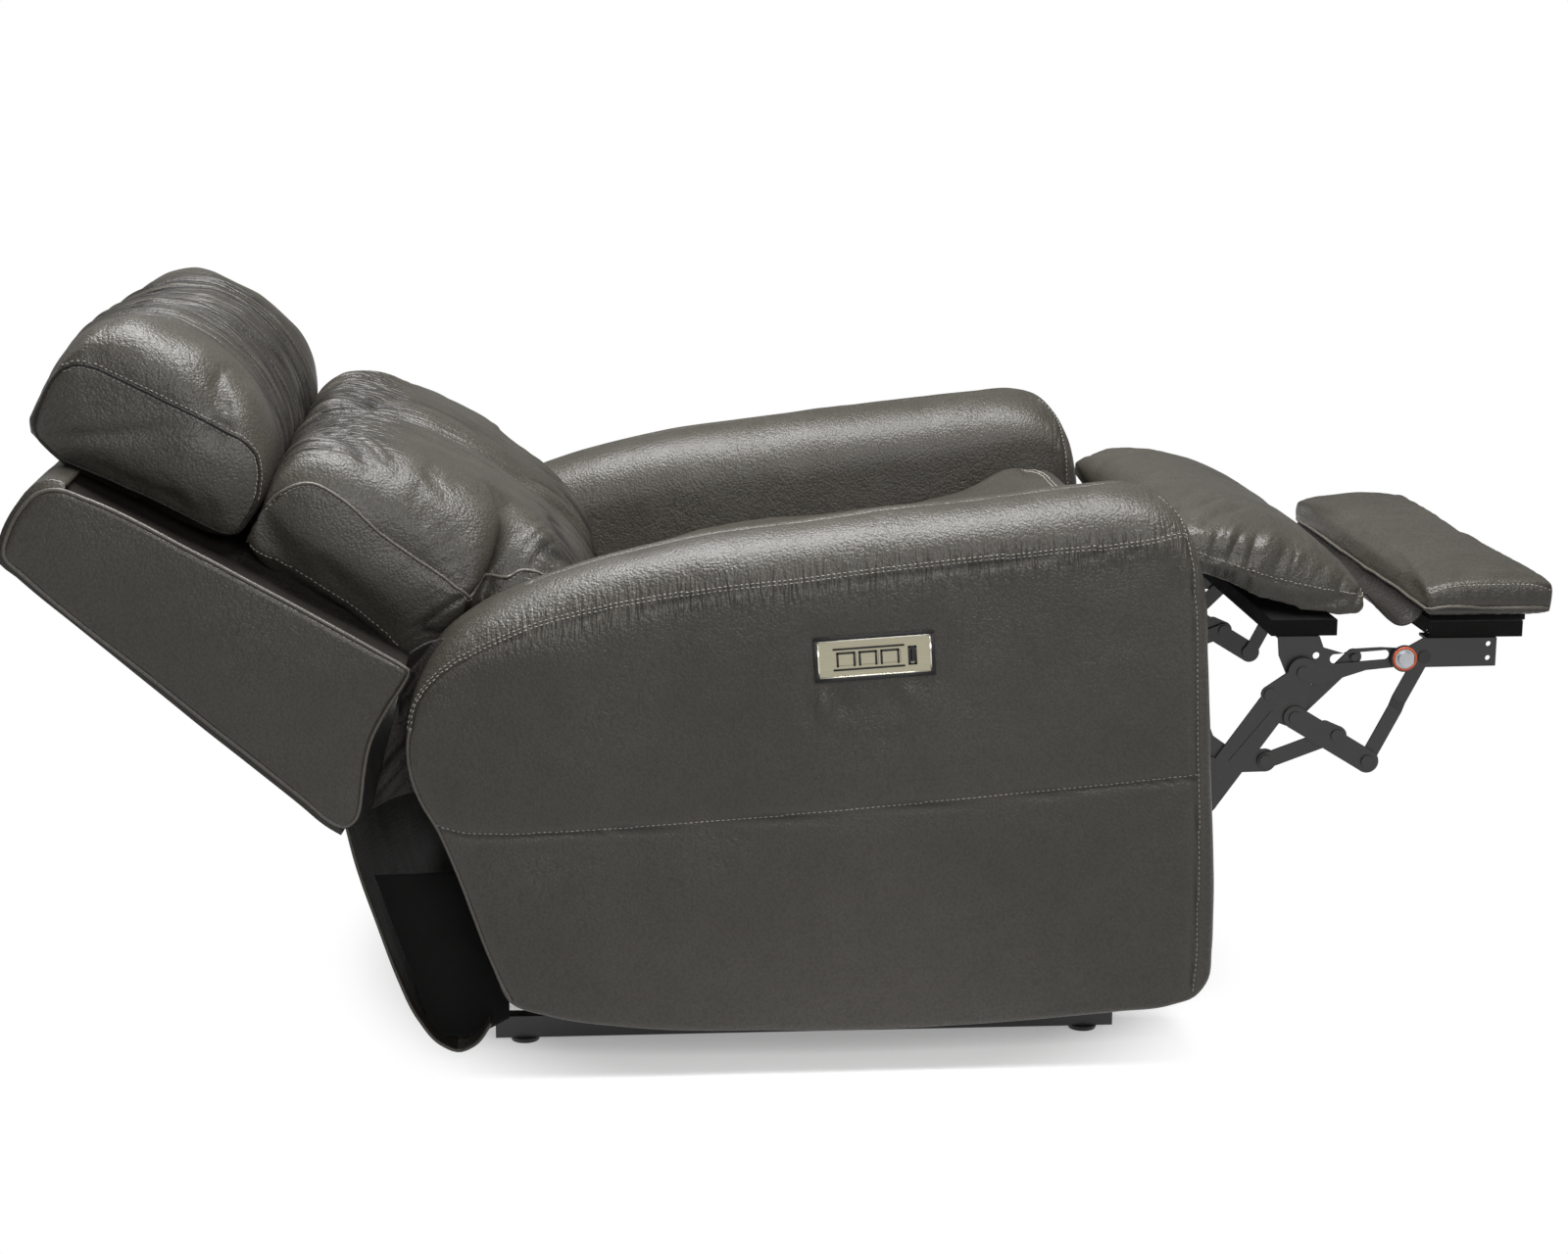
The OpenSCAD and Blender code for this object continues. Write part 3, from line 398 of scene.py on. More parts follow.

# %% [markdown]
# ## Leather
# Corrected-grain leather is a field of fine pebbles with darker pores between them, over
# soft clouds of tone. It shines on a stretched roll and goes matt in a fold. The grain is
# two sizes of cells in a bump. The piece's own marks paint shade into seam grooves and fold
# valleys and a highlight onto the crests beside seams. A darker copy of the hide paints
# shade, and a paler one paints highlight on the piping.


# %% Leather recipe
def leather_recipe(dark, light, pore_and_shade, depth=1.0, gloss=0.40):
    """Pebbles in two sizes, a crackle of creases along the borders of large cells, gathers
    that run across the chair's width in x and z, and the piece's own seam and fold marks,
    which paint shade in the pore colour, and its crest mark, which paints a highlight."""
    def recipe(place):
        def marked(name):
            """The mark that the piece's mesh carries under this name."""
            return place.node("ShaderNodeAttribute", {"attribute_name": name}, {}, "Fac")

        def pushed(scale, far):
            """The place, moved by up to far metres by a noise, so that cells aren't regular."""
            swirl = place.node("ShaderNodeTexNoise", {}, {"Vector": place, "Scale": scale}, "Color")
            return place.node("ShaderNodeVectorMath", {"operation": "MULTIPLY_ADD"},
                              {0: swirl, 1: (far, far, far), 2: place})

        pebble = pushed(180.0, 0.0016).cells(330.0)
        small = place.cells(900.0)
        border = pushed(30.0, 0.03)
        crack = (1.0 - border.stretch((1.0, 1.0, 0.45)).cells(62.0, "DISTANCE_TO_EDGE") * 9.0)
        hair = (1.0 - border.cells(150.0, "DISTANCE_TO_EDGE") * 7.0)
        where = (place.cloud(11.0, 3.0) * 5.0 - 2.2).clamp(0.0, 1.0)
        tone = place.cloud(5.5, 4.0)
        patch = place.cloud(26.0, 3.0)
        seam, crest, fold = marked("seam"), marked("crest"), marked("fold")
        gather, pucker = marked("gather"), marked("pucker")
        crease = (crack.clamp(0.0, 1.0) * (where * 0.45 + 0.05)
                  + hair.clamp(0.0, 1.0) * (where * 0.25 + 0.1))
        fine = (place.stretch((7.0, 85.0, 7.0)).cloud(1.0, 2.0) - 0.5).math("ABSOLUTE")
        fine = (fine * 7.0).clamp(0.0, 1.0)
        short = (place.stretch((130.0, 22.0, 22.0)).cloud(1.0, 2.0) - 0.5).math("ABSOLUTE")
        short = (short * 6.0).clamp(0.0, 1.0)
        base = (tone * 1.5 + patch * 0.7 - 0.6).clamp(0.0, 1.0).mix(dark, light)
        grooves = (pebble * 1.6 - 0.25).clamp(0.0, 1.0) * 0.35 + crease * 0.2
        base = grooves.clamp(0.0, 1.0).mix(base, pore_and_shade)
        # painted shade in the valleys of the fine gathers, under the gather mark
        gather_shade = (1.0 - fine) * gather * 0.8
        # painted shade: seam grooves, fold valleys and gather valleys take the pore colour
        base = (seam * 0.85 + fold * 0.9 + gather_shade).clamp(0.0, 0.95).mix(base, pore_and_shade)
        # painted highlight on the crest beside each seam, towards the light colour
        base = (crest * 0.35).clamp(0.0, 1.0).mix(base, light)
        rough = (gloss + patch * 0.16 + seam * 0.2 + fold * 0.15 - crest * 0.05
                 + pebble * 0.10 - 0.04).clamp(0.2, 0.9)
        height = (patch * 0.6 + tone * 1.4 - pebble * 0.42 - small * 0.10 - crease * 0.42
                  + place.cloud(75.0, 2.0) * 0.25 + fine * gather * 2.6
                  + short * pucker * 1.2) * depth
        return base, rough, height
    return recipe


leather = material("leather_charcoal_hide", leather_recipe(
    rgb(58, 55, 49), rgb(75, 72, 65), rgb(28, 26, 23), 1.0, 0.30), **{"Specular IOR Level": 0.4})
# painted shade: a darker copy of the hide for the lining, the skirt's inner faces, the gussets, the
# web and the headrest piping
shaded_leather = material("leather_painted_shade", leather_recipe(
    rgb(30, 27, 24), rgb(40, 36, 32), rgb(13, 12, 11), 1.2, 0.44), **{"Specular IOR Level": 0.3})
# painted highlight: a paler, glossier copy of the hide for the piping of arms, back, shell and foot
lit_piping = material("leather_piping_painted_highlight", leather_recipe(
    rgb(78, 74, 68), rgb(104, 99, 92), rgb(44, 41, 37), 0.5, 0.34), **{"Specular IOR Level": 0.5})
print("leathers:", leather.name, shaded_leather.name, lit_piping.name)

# %% [markdown]
# ## Thread, cloth, steel, wood and trim
# Each of these is seen close up somewhere: grey bonded thread, black felt on the boards,
# powder-coated steel links, zinc rivets, beech rails and a champagne control plate. Each
# gets its own small recipe, with its grain at the real size.


# %% Small recipes
def thread_recipe(place):
    """Grey bonded thread, with a fine twist in tone and height."""
    twist = place.cloud(900.0, 2.0)
    return (twist.mix(rgb(122, 118, 110), rgb(160, 156, 148)), twist * 0.2 + 0.55, twist * 0.2)


def felt_recipe(place):
    """Black fuzz over soft lumps."""
    fuzz = place.cloud(1400.0, 4.0, 0.7)
    lump = place.cloud(60.0, 3.0)
    return ((fuzz * 0.7 + lump * 0.3).mix(rgb(6, 6, 6), rgb(20, 19, 18)), fuzz * 0.1 + 0.85,
            fuzz * 0.7 + lump * 0.8)


def coat_recipe(place):
    """Black powder coat: an orange-peel of small cells, rubbed paler in patches."""
    speck = place.cells(1500.0)
    wear = place.cloud(38.0, 5.0, 0.6)
    rub = (wear * 4.0 - 2.5).clamp(0.0, 1.0)
    return (rub.mix(rgb(23, 23, 22), rgb(50, 49, 46)), wear * 0.22 + 0.24,
            speck * 0.06 + wear * 0.12)


ZINC = (rgb(150, 152, 156), rgb(205, 207, 210))
BOLT_FRONT = 0.6755  # between the slot bolts and the lift pivots, in metres


def zinc_recipe(place):
    """Bright plating with pale cells, dulled in clouds."""
    spangle = place.cells(160.0)
    dull = place.cloud(70.0, 4.0)
    return ((spangle * 0.5 + dull * 0.5).mix(*ZINC), dull * 0.25 + 0.25,
            spangle * 0.03 + dull * 0.05)


def bolt_recipe(place):
    """Zinc on the slot bolts, and the links' black paint on the lift pivots in front of them."""
    x = place.node("ShaderNodeSeparateXYZ", {}, {0: place}, 0)
    black = ((x - BOLT_FRONT) * 4000.0).clamp(0.0, 1.0)
    dull = place.cloud(70.0, 4.0)
    return (black.mix(dull.mix(*ZINC), rgb(30, 30, 29)), dull * 0.25 + black * 0.1 + 0.22,
            dull * 0.05, 1.0 - black)


def plate_recipe(place):
    """Brushed champagne metal: a noise drawn out long in x and packed in z."""
    brush = place.stretch((60.0, 1.0, 2600.0)).cloud(1.0, 4.0, 0.6)
    smudge = place.cloud(45.0, 3.0)
    return (brush.mix(rgb(160, 154, 132), rgb(186, 181, 158)), brush * 0.08 + smudge * 0.1 + 0.34,
            brush * 0.01)


def plastic_recipe(place):
    """Moulded black plastic with a fine texture and a little dust."""
    orange = place.cells(900.0)
    dust = place.cloud(30.0, 4.0)
    return (dust.mix(rgb(14, 14, 15), rgb(30, 30, 31)), dust * 0.2 + 0.35, orange * 0.04)


def timber_recipe(place):
    """Beech: bands from the sine of a long noise, and fine fibres along x."""
    rings = place.stretch((1.0, 14.0, 14.0)).cloud(9.0, 6.0, 0.6)
    fibre = place.stretch((6.0, 160.0, 160.0)).cloud(5.0, 3.0)
    band = ((rings * 9.0).math("SINE") * 0.5 + 0.5)
    return ((band * 0.6 + fibre * 0.4).mix(rgb(170, 128, 84), rgb(208, 170, 122)),
            fibre * 0.2 + 0.55, fibre * 0.12 + band * 0.05)


thread = material("thread_grey", thread_recipe, **{"Sheen Weight": 0.3})
felt = material("felt_black", felt_recipe, **{"Sheen Weight": 0.1, "Specular IOR Level": 0.2})
coat = material("steel_powder_coat", coat_recipe, **{"Specular IOR Level": 0.7})
zinc = material("steel_zinc", zinc_recipe, **{"Metallic": 1.0})
bolt = material("steel_bolt", bolt_recipe)
champagne = material("plate_champagne", plate_recipe, **{"Metallic": 0.75})
plastic = material("plastic_black", plastic_recipe, **{"Specular IOR Level": 0.5})
timber = material("timber_beech", timber_recipe)
print("recipes:", len(bpy.data.materials))

# %% [markdown]
# ## Finishes on the ready-made parts
# The steel, wood and plastic parts keep their shapes and only take a better surface, by a
# table from finish to the parts that wear it.

# %% Dress the frame
WEARS = {
    coat: ["floor_rail", "base_cross", "rear_swing", "front_swing", "side_plate", "hinge_plate",
           "headrest_arms", "headrest_bracket", "torque_tube", "drive_link", "knee_plate",
           "lower_link", "mid_bracket", "slot_links", "foot_bracket", "short_links",
           "joggled_link", "calf_hinge", "lower_rivets", "knee_rivets"],
    zinc: ["swing_pins", "seat_bolts", "seat_springs", "drive_rail"],
    bolt: ["foot_bolts"],
    plastic: ["floor_glides", "usb_socket", "drive_motor", "drive_nut"],
    timber: ["seat_box", "arm_frame", "back_frame"],
    felt: ["calf_board", "foot_board", "seat_deck"],
    champagne: ["control_plate", "button_"],
}
for finish, starts in WEARS.items():
    for name in [n for n in nodes if n.startswith(tuple(starts))]:
        if not nodes[name].material_slots:
            nodes[name].data.materials.append(finish)
        for holder in nodes[name].material_slots:
            holder.material = finish
print("dressed", sum(len(v) for v in WEARS.values()), "kinds of part")

# %% [markdown]
# ## Seams, stitches and piping
# Sewing happens in three acts: the path is laid on the finished skin, a groove is pressed
# in along it, and thread or piping goes on top. Thread is one mesh per piece, made of short
# spindles with a dozen faces each. The nearest spot of the skin is found with a search tree.


# %% Sewing helpers
def tree_of(obj):
    """A search tree over the skin, in millimetres."""
    return BVHTree.FromPolygons(points_of(obj).tolist(),
                                [list(f.vertices) for f in obj.data.polygons])


def settle(tree, path):
    """Each point of the path moved to the nearest spot of a skin, with the skin's normal."""
    hits = [tree.find_nearest(Vector(p)) for p in as_points(path)]
    return (np.array([h[0][:] for h in hits]), np.array([h[1][:] for h in hits]))


def slopes(path):
    """Unit vectors along a path, from the differences of its points."""
    t = np.gradient(path, axis=0)
    return t / np.maximum(np.linalg.norm(t, axis=1, keepdims=True), 1e-9)


def soften(values, times=2):
    """Each row mixed with its neighbours, as one, two and one quarters. The ends stay."""
    for _ in range(times):
        middle = (values[:-2] + values[1:-1] * 2 + values[2:]) / 4
        values = np.vstack([values[:1], middle, values[-1:]])
    return values


STITCH_PITCH, STITCH_LENGTH, STITCH_RADIUS = 5.6, 4.2, 0.65


def stitch_part(tree, path, aside=0.0):
    """Stitches along a path: at every pitch a spindle of three four-sided rings, thin and
    sunk at its ends, thick and proud in the middle."""
    path, out = settle(tree, smooth_path(path, STITCH_PITCH))
    out = soften(out)
    along = slopes(path)
    if aside:
        path, out = settle(tree, path + np.cross(along, out) * aside)
    side = np.cross(along, out)
    spin = [(1, 0), (0, 1), (-1, 0), (0, -1)]
    thin = 0.3 * STITCH_RADIUS
    rings = [path[:, None] + along[:, None] * d * STITCH_LENGTH / 2 + out[:, None] * lift
             + np.stack([side * a * r + out * b * r for a, b in spin], 1)
             for d, lift, r in ((-1, -0.15, thin), (0, 0.35, STITCH_RADIUS), (1, -0.15, thin))]
    p = np.stack(rings, 1).reshape(-1, 3)
    one = np.vstack([grid_faces(3, 4, close_v=True), [[3, 2, 1, 0], [8, 9, 10, 11]]])
    f = (one[None] + (np.arange(len(path)) * 12)[:, None, None]).reshape(-1, 4)
    return p, f


def cord_part(path, out, radius, sides=8, closed=False):
    """A round section carried along a path: the centre, plus cos and sin of each angle
    times the radius along the two directions square to the path."""
    along = slopes(path)
    side = np.cross(along, out)
    side /= np.maximum(np.linalg.norm(side, axis=1, keepdims=True), 1e-9)
    up = np.cross(side, along)
    turn = np.arange(sides) * 2 * np.pi / sides
    rings = (path[:, None] + side[:, None] * np.cos(turn)[None, :, None] * radius
             + up[:, None] * np.sin(turn)[None, :, None] * radius)
    if closed:
        return rings, grid_faces(len(path), sides, True, True)
    return skin_part(rings)


def laid_cord(tree, path, radius, lift, closed=False):
    """Piping on a skin: its centre follows the nearest spots and stands off them by lift."""
    path, out = settle(tree, smooth_path(path, 5.0, closed=closed))
    out = soften(out, 4)
    path = soften(path, 2)
    return cord_part(path + out * lift, out, radius, closed=closed)


def tag(obj, name, values):
    """Stores one number per point for the material to read."""
    layer = obj.data.attributes.new(name, "FLOAT", "POINT")
    layer.data.foreach_set("value", np.asarray(values, np.float32))


def press_seams(obj, paths, width=3.0, depth=2.2, puff=2.0, reach=26.0):
    """Grooves along the paths: the skin is pulled in by depth within width, and stands proud
    by puff away from them. The same distances tag the groove, where the leather paints shade,
    and the crest beside it, where the leather paints a highlight."""
    p = points_of(obj)
    d = np.full(len(p), 1e9)
    for path in paths:
        d = np.minimum(d, path_distance(p, smooth_path(path, 9.0)))
    swell(obj, puff * (1 - bell(d, reach)) - depth * bell(d, width))
    # seam mark: painted shade in the groove; crest mark: painted highlight beside it
    tag(obj, "seam", bell(d, width * 0.9))
    tag(obj, "crest", bell(d - 2.2 * width, width * 1.4))
    return d


def dress(obj, finish, body=None):
    """The finish in the piece's one material slot, and the body that the piece rides on, if it is
    one.
    """
    obj.data.materials.clear()
    obj.data.materials.append(finish)
    if body:
        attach(obj, body)


def upholster(obj, body, node):
    """A padded leather cover that takes the place of a part of the frame. Gives the search
    tree of its skin, for the sewing."""
    dress(obj, leather, body)
    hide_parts(node)
    return tree_of(obj)


def sewn(name, parts, body, finish=thread, weld=0):
    """One mesh of thread, piping or trim that rides on a body."""
    dress(put_mesh(name, parts, weld), finish, body)


def flipped(path):
    """The same path on the other side of the chair."""
    return as_points(path) * [1, -1, 1]


def both(paths):
    """The paths, and the same ones on the other side."""
    return list(paths) + [flipped(q) for q in paths]


print("sewing helpers ready")

# %% [markdown]
# ## Arms
# An arm is a board frame wrapped in foam and leather: a flat side, a fat roll along the top
# that dies out towards the rear, a bulging front strip beyond a stitched seam, and a piped
# rear edge. Its side outline is one closed curve. Each point of the curve also says how far
# the edge is rounded, in and across, so one grid gives the whole skin.

# %% Arm outline
# columns: x, z, rounding inwards from the outline, rounding across the arm
ARM = [
    (-343, 103, 10, 10), (-360, 148, 10, 10), (-381, 219, 10, 10), (-391, 257, 10, 10),
    (-404, 296, 10, 10), (-419, 326, 11, 11), (-427, 350, 12, 12), (-429, 376, 13, 13),
    (-426, 408, 15, 15), (-413, 446, 22, 26), (-384, 484, 36, 46),
    (-345, 512, 52, 64), (-300, 531, 64, 76), (-230, 552, 72, 78.5), (-127, 570, 74, 78.5),
    (-24, 578, 74, 78.5), (79, 585, 74, 78.5), (182, 590, 74, 78.5), (286, 596, 74, 78.5),
    (338, 596, 70, 78.5), (364, 588, 58, 74), (384, 569, 40, 56), (396, 540, 26, 32),
    (403, 500, 18, 18), (405, 420, 16, 14), (405, 300, 16, 14), (405, 200, 16, 14),
    (403, 140, 16, 14), (400, 100, 14, 12), (394, 66, 10, 10), (380, 50, 9, 9), (356, 44, 9, 9),
    (300, 43, 9, 9),
    (148, 41, 9, 9), (-60, 52, 9, 9), (-214, 68, 9, 9), (-305, 88, 9, 9),
]
ARM_FACE = 456.0
ARM_W = 154.0
SPINE = as_points([[-215, 330], [225, 318]])
edge = smooth_path(ARM, 6.0, 2, True)
print("arm outline points:", len(edge))


# %% Arm skin
def arm_section(u, inset):
    """Depth of the skin behind the flat face at an inset from the outline: with the rounding
    w inwards and b across, (1 - inset / w) to the power 1 / 0.9 is the sine of an angle, and
    the depth is b times one less the cosine to the power 0.9."""
    w, b = edge[u, 2], edge[u, 3]
    sine = np.clip(1 - inset / w, 0, 1) ** (1 / 0.9)
    return b * (1 - np.sqrt(1 - sine**2) ** 0.9)


def arm_place(u, inset):
    """Point of the flat outline moved in by inset towards the spine of the arm."""
    o = edge[u, :2]
    d = SPINE[1] - SPINE[0]
    t = np.clip(((o - SPINE[0]) @ d) / (d @ d), 0, 1)
    c = SPINE[0] + t[..., None] * d
    way = o - c
    far = np.linalg.norm(way, axis=-1)
    return o - way / far[..., None] * np.minimum(inset, far)[..., None], far


def arm_grid(face_rows=40, round_rows=18, band_rows=14):
    """Rows from the middle of the near face over its rounding, across the band, and back to
    the middle of the far face. On the rounding the inset is w times one less the sine of the
    angle to the power 0.9, and the depth is b times one less its cosine to that power."""
    u = np.arange(len(edge))[None]
    w, b = edge[None, :, 2], edge[None, :, 3]
    _, far = arm_place(np.arange(len(edge)), np.zeros(len(edge)))
    k = np.linspace(0, 1, face_rows)[:, None]
    face_in = far[None] - (far[None] - w) * k
    t = np.linspace(0, np.pi / 2, round_rows + 1)[1:, None]
    round_in = w * (1 - np.sin(t) ** 0.9)
    inset = np.concatenate([face_in, round_in])
    depth = np.concatenate([face_in * 0, b * (1 - np.clip(np.cos(t), 0, 1) ** 0.9)])
    s = np.linspace(0, 1, band_rows + 2)[1:-1, None]
    inset = np.concatenate([inset, inset[-1:] + 0 * s, inset[::-1]])
    depth = np.concatenate([depth, b + (ARM_W - 2 * b) * s, ARM_W - depth[::-1]])
    flat, _ = arm_place(np.broadcast_to(u, inset.shape), inset)
    return np.stack([flat[..., 0], depth - ARM_FACE, flat[..., 1]], -1)


skin = arm_grid()
print("arm grid:", skin.shape)


# %% Arm seams
TOP_SEAM = [(-422, 408), (-416, 428), (-406, 444), (-390, 459), (-365, 474), (-329, 488),
            (-287, 501), (-239, 511), (-180, 519), (-108, 525), (-26, 528), (58, 533), (147, 537),
            (237, 540), (326, 542), (388, 546)]
FRONT_SEAM = [(368, 588), (381, 572), (386, 557), (387, 546), (389, 495), (390, 434), (389, 373),
              (388, 298), (386, 217), (383, 153), (379, 90), (375, 60)]
LOW_SEAM = [(-404, 302), (-383, 294), (-339, 288), (-256, 285), (-137, 284), (-17, 285),
            (104, 287), (225, 290), (347, 293), (387, 294)]
REAR_SEAM = [(-423, 408), (-427, 392), (-428, 374), (-425, 350), (-417, 326), (-403, 298),
             (-390, 258), (-380, 220), (-359, 149), (-343, 108)]


def seam_line(points, inner=False):
    """Seam points on the skin: the nearest outline point tells the rounding there."""
    out = []
    for x, z in points:
        u = int(np.argmin(np.hypot(edge[:, 0] - x, edge[:, 1] - z)))
        inset = math.hypot(edge[u, 0] - x, edge[u, 1] - z)
        depth = float(arm_section(u, inset))
        out.append([x, -(ARM_FACE - ARM_W) - depth if inner else -ARM_FACE + depth, z])
    return out


arm_paths = [seam_line(line) for line in (TOP_SEAM, FRONT_SEAM, LOW_SEAM, REAR_SEAM)]
arm_paths += [seam_line(line, True) for line in (FRONT_SEAM, REAR_SEAM)]
ARM_SEWING = ["double", "single", "single", "piped", "single", "piped"]
print("arm seams:", len(arm_paths))

# %% Arm covers
# the control plate: middle in x and z, half length, half height
PLATE = (56.0, 449.0, 59.0, 20.0)
POCKET_X, POCKET_Z, POCKET_DEEP = 51, 13, 12.0
# puckers under the plate: height, x, half width, z, half height
DENTS = [(-3.0, 10, 13, 408, 20), (5.5, 2, 9, 402, 15), (-3.0, -13, 8, 402, 20),
         (-2.5, 22, 9, 402, 18), (-2.5, 100, 12, 414, 14), (3.6, 92, 10, 407, 12),
         (-1.6, 76, 9, 406, 16), (-1.2, 56, 60, 396, 12)]


def make_arm(name, left):
    """The grid in level axes, puffed between its seams, dented under the control plate, then
    pitched into place and mirrored for the left arm."""
    obj = put_mesh(name, [(skin, grid_faces(*skin.shape[:2], close_v=True))], 0.05)
    gap = press_seams(obj, arm_paths, 2.6, 1.7, 2.2, 34.0)
    p = points_of(obj)
    tag(obj, "pucker", bell(gap, 20) * ease(p[:, 2], 470, 500))
    out = normals_of(obj)
    soft = (noise(p, 95, 3 + left) + noise(p, 42, 5 + left) * 0.45
            + noise(p * [1, 1, 0.35], 16, 8) * 0.22 * ease(p[:, 2], 480, 520))
    flat = bell(p[:, 1] + ARM_FACE, 6)
    if not left:
        x, z = p[:, 0], p[:, 2]
        near = np.maximum(np.abs(x - PLATE[0]) - PLATE[2], 0) ** 2 + np.maximum(
            np.abs(z - PLATE[1]) - PLATE[3], 0) ** 2
        soft -= flat * 3.0 * np.exp(-near / 22**2)
        for size, x0, wide, z0, tall in DENTS:
            soft += flat * size * np.exp(-((x - x0) / wide) ** 2 - ((z - z0) / tall) ** 2)
    p = p + out * soft[:, None]
    if not left:
        inside = ((flat > 0.2) & (np.abs(p[:, 0] - PLATE[0]) < POCKET_X)
                  & (np.abs(p[:, 2] - PLATE[1]) < POCKET_Z))
        p[inside, 1] = -ARM_FACE + POCKET_DEEP
    set_points(obj, on_unit(p * ([1, -1, 1] if left else [1, 1, 1])))
    clean(obj, 0)
    side = "left" if left else "right"
    tree = upholster(obj, "seat", "arm_cover_" + side)
    turn = flipped if left else as_points
    laid = [on_unit(turn(path)) for path in arm_paths]
    rows = []
    for k, (path, sewing) in enumerate(zip(laid, ARM_SEWING)):
        sign = (1 if left else -1) * (1 if k < 4 else -1)
        for aside in {"double": (2.6, 6.4), "single": (2.4,), "piped": ()}[sewing]:
            rows.append(stitch_part(tree, path, sign * aside))
    sewn("arm_stitches_" + side, rows, "seat")
    cords = [laid_cord(tree, path, 2.2, 0.9) for path, sewing in zip(laid, ARM_SEWING)
             if sewing == "piped"]
    sewn("arm_piping_" + side, cords, "seat", lit_piping)
    return obj


arm_right = make_arm("arm_leather_right", False)
arm_left = make_arm("arm_leather_left", True)
print("arm faces:", len(arm_right.data.polygons))

# %% [markdown]
# ## Stuffing a cushion
# A cushion is sewn from flat panels and stuffed until they round out. Here a boxy closed
# shape, a little smaller than the finished one, is remeshed into even squares and blown up
# as cloth with a steady pressure, while its seams are pinned. The swelling is capped, and
# the result replaces the mesh, so nothing is left to simulate later.


# %% Cushion shape
def signed_power(a, e):
    """The size of a to the power e, with the sign of a."""
    return np.sign(a) * np.abs(a) ** e


def profile(value, at):
    """A plain number, or a list of (place, number) read at the given places."""
    return np.interp(at, *as_points(value).T) if np.ndim(value) else value


def cushion_part(place, hw, x0, x1, low, tops, drop, draw, valley=None, roll=90.0,
                 square=(0.42, 0.5), rows=76, around=84):
    """Rings along Y. Each ring is a squared-off circle between x0 and x1. It stands on low and
    follows the heights in tops. Over the last stretch, roll long, it falls by drop along a
    quarter of a circle: one less the root of one less the square of the way gone."""
    v = np.sin(np.pi / 2 * np.linspace(-1, 1, rows))[:, None]
    t = np.linspace(0, 2 * np.pi, around, endpoint=False)[None]
    shut = np.where(np.abs(v) > 0.999, 0.9, 1.0)
    px = (x0 + x1) / 2 + (x1 - x0) / 2 * shut * signed_power(np.cos(t), square[0])
    y = hw * v + 0 * t
    gone = np.clip((np.abs(y) - hw + roll) / roll, 0, 1)
    top = profile(tops, px) - profile(drop, px) * (1 - np.sqrt(1 - gone**2 * 0.999))
    if valley:
        top = top - valley[0] * bell(y, valley[1])
    low = profile(low, px)
    mid = low + (top - low) * 0.42
    up = mid + (top - mid) * shut * signed_power(np.maximum(np.sin(t), 0), square[1])
    down = mid - (mid - low) * shut * signed_power(np.maximum(-np.sin(t), 0), 0.4)
    pull = draw * (1 - signed_power(np.cos(t), 0.42) ** 2) * np.abs(v) ** 8
    ring = np.stack([px, y - np.sign(v) * pull, np.where(np.sin(t) >= 0, up, down)], -1)
    return skin_part(ring, place)


# %% Cloth
PRESSURE, PIN_WIDTH, FRAMES = 4.0, 5.0, 20


def stuffed(obj, voxel, pins, cap):
    """Even squares, then cloth with pressure for a few frames. A move of length d is cut to
    cap times tanh(d / cap)."""
    scene = bpy.context.scene
    remesh = obj.modifiers.new("even", "REMESH")
    remesh.mode, remesh.voxel_size = "VOXEL", voxel * MM
    relax = obj.modifiers.new("relax", "SMOOTH")
    relax.factor, relax.iterations = 0.5, 6
    bake_modifiers(obj)
    rest = points_of(obj)
    d = np.full(len(rest), 1e9)
    for path in pins:
        d = np.minimum(d, path_distance(rest, smooth_path(path, 8.0)))
    group = obj.vertex_groups.new(name="pins")
    group.add(np.nonzero(d < PIN_WIDTH)[0].tolist(), 1.0, "REPLACE")
    cloth = obj.modifiers.new("cloth", "CLOTH")
    s = cloth.settings
    s.quality, s.mass, s.air_damping = 6, 0.35, 1.0
    s.tension_stiffness = s.compression_stiffness = 18
    s.shear_stiffness, s.bending_stiffness = 8, 0.8
    s.use_pressure, s.uniform_pressure_force = True, PRESSURE
    s.effector_weights.gravity = 0
    s.vertex_group_mass = "pins"
    cloth.point_cache.frame_start, cloth.point_cache.frame_end = 1, FRAMES
    for f in range(1, FRAMES + 1):
        scene.frame_set(f)
    deps = bpy.context.evaluated_depsgraph_get()
    blown = obj.evaluated_get(deps).to_mesh()
    co = np.empty(len(blown.vertices) * 3)
    blown.vertices.foreach_get("co", co)
    obj.evaluated_get(deps).to_mesh_clear()
    obj.modifiers.clear()
    obj.vertex_groups.clear()
    move = co.reshape(-1, 3) / MM - rest
    size = np.maximum(np.linalg.norm(move, axis=1), 1e-6)
    set_points(obj, rest + move * (cap * np.tanh(size / cap) / size)[:, None])
    scene.frame_set(1)
    print(obj.name, "moved by", round(float(size.max()), 1), "mm at most")


def finer(obj):
    """One subdivision, made part of the mesh."""
    mod = obj.modifiers.new("fine", "SUBSURF")
    mod.levels = mod.render_levels = 1
    bake_modifiers(obj)


def made_pad(name, parts, voxel, paths, cap, seams=None):
    """A shape stuffed and refined, with its seams pressed in unless they wait for a cut."""
    obj = put_mesh(name, parts)
    stuffed(obj, voxel, paths, cap)
    finer(obj)
    if seams:
        press_seams(obj, paths, *seams)
    return obj


def sheet_mesh(name, grid, thick, place=on_row):
    """An open grid given an even thickness, already part of the mesh."""
    obj = put_mesh(name, [(place(grid), grid_faces(*grid.shape[:2]))], 0, False)
    mod = obj.modifiers.new("thick", "SOLIDIFY")
    mod.thickness, mod.offset = thick * MM, 0
    bake_modifiers(obj)
    return obj


print("stuffing helpers ready")

# %% [markdown]
# ## Seat cushion
# A thick pad between the arms. From the side only its front crown shows, so its one visible
# seam, across the front, matters most. It starts lower than its finished crown and swells.

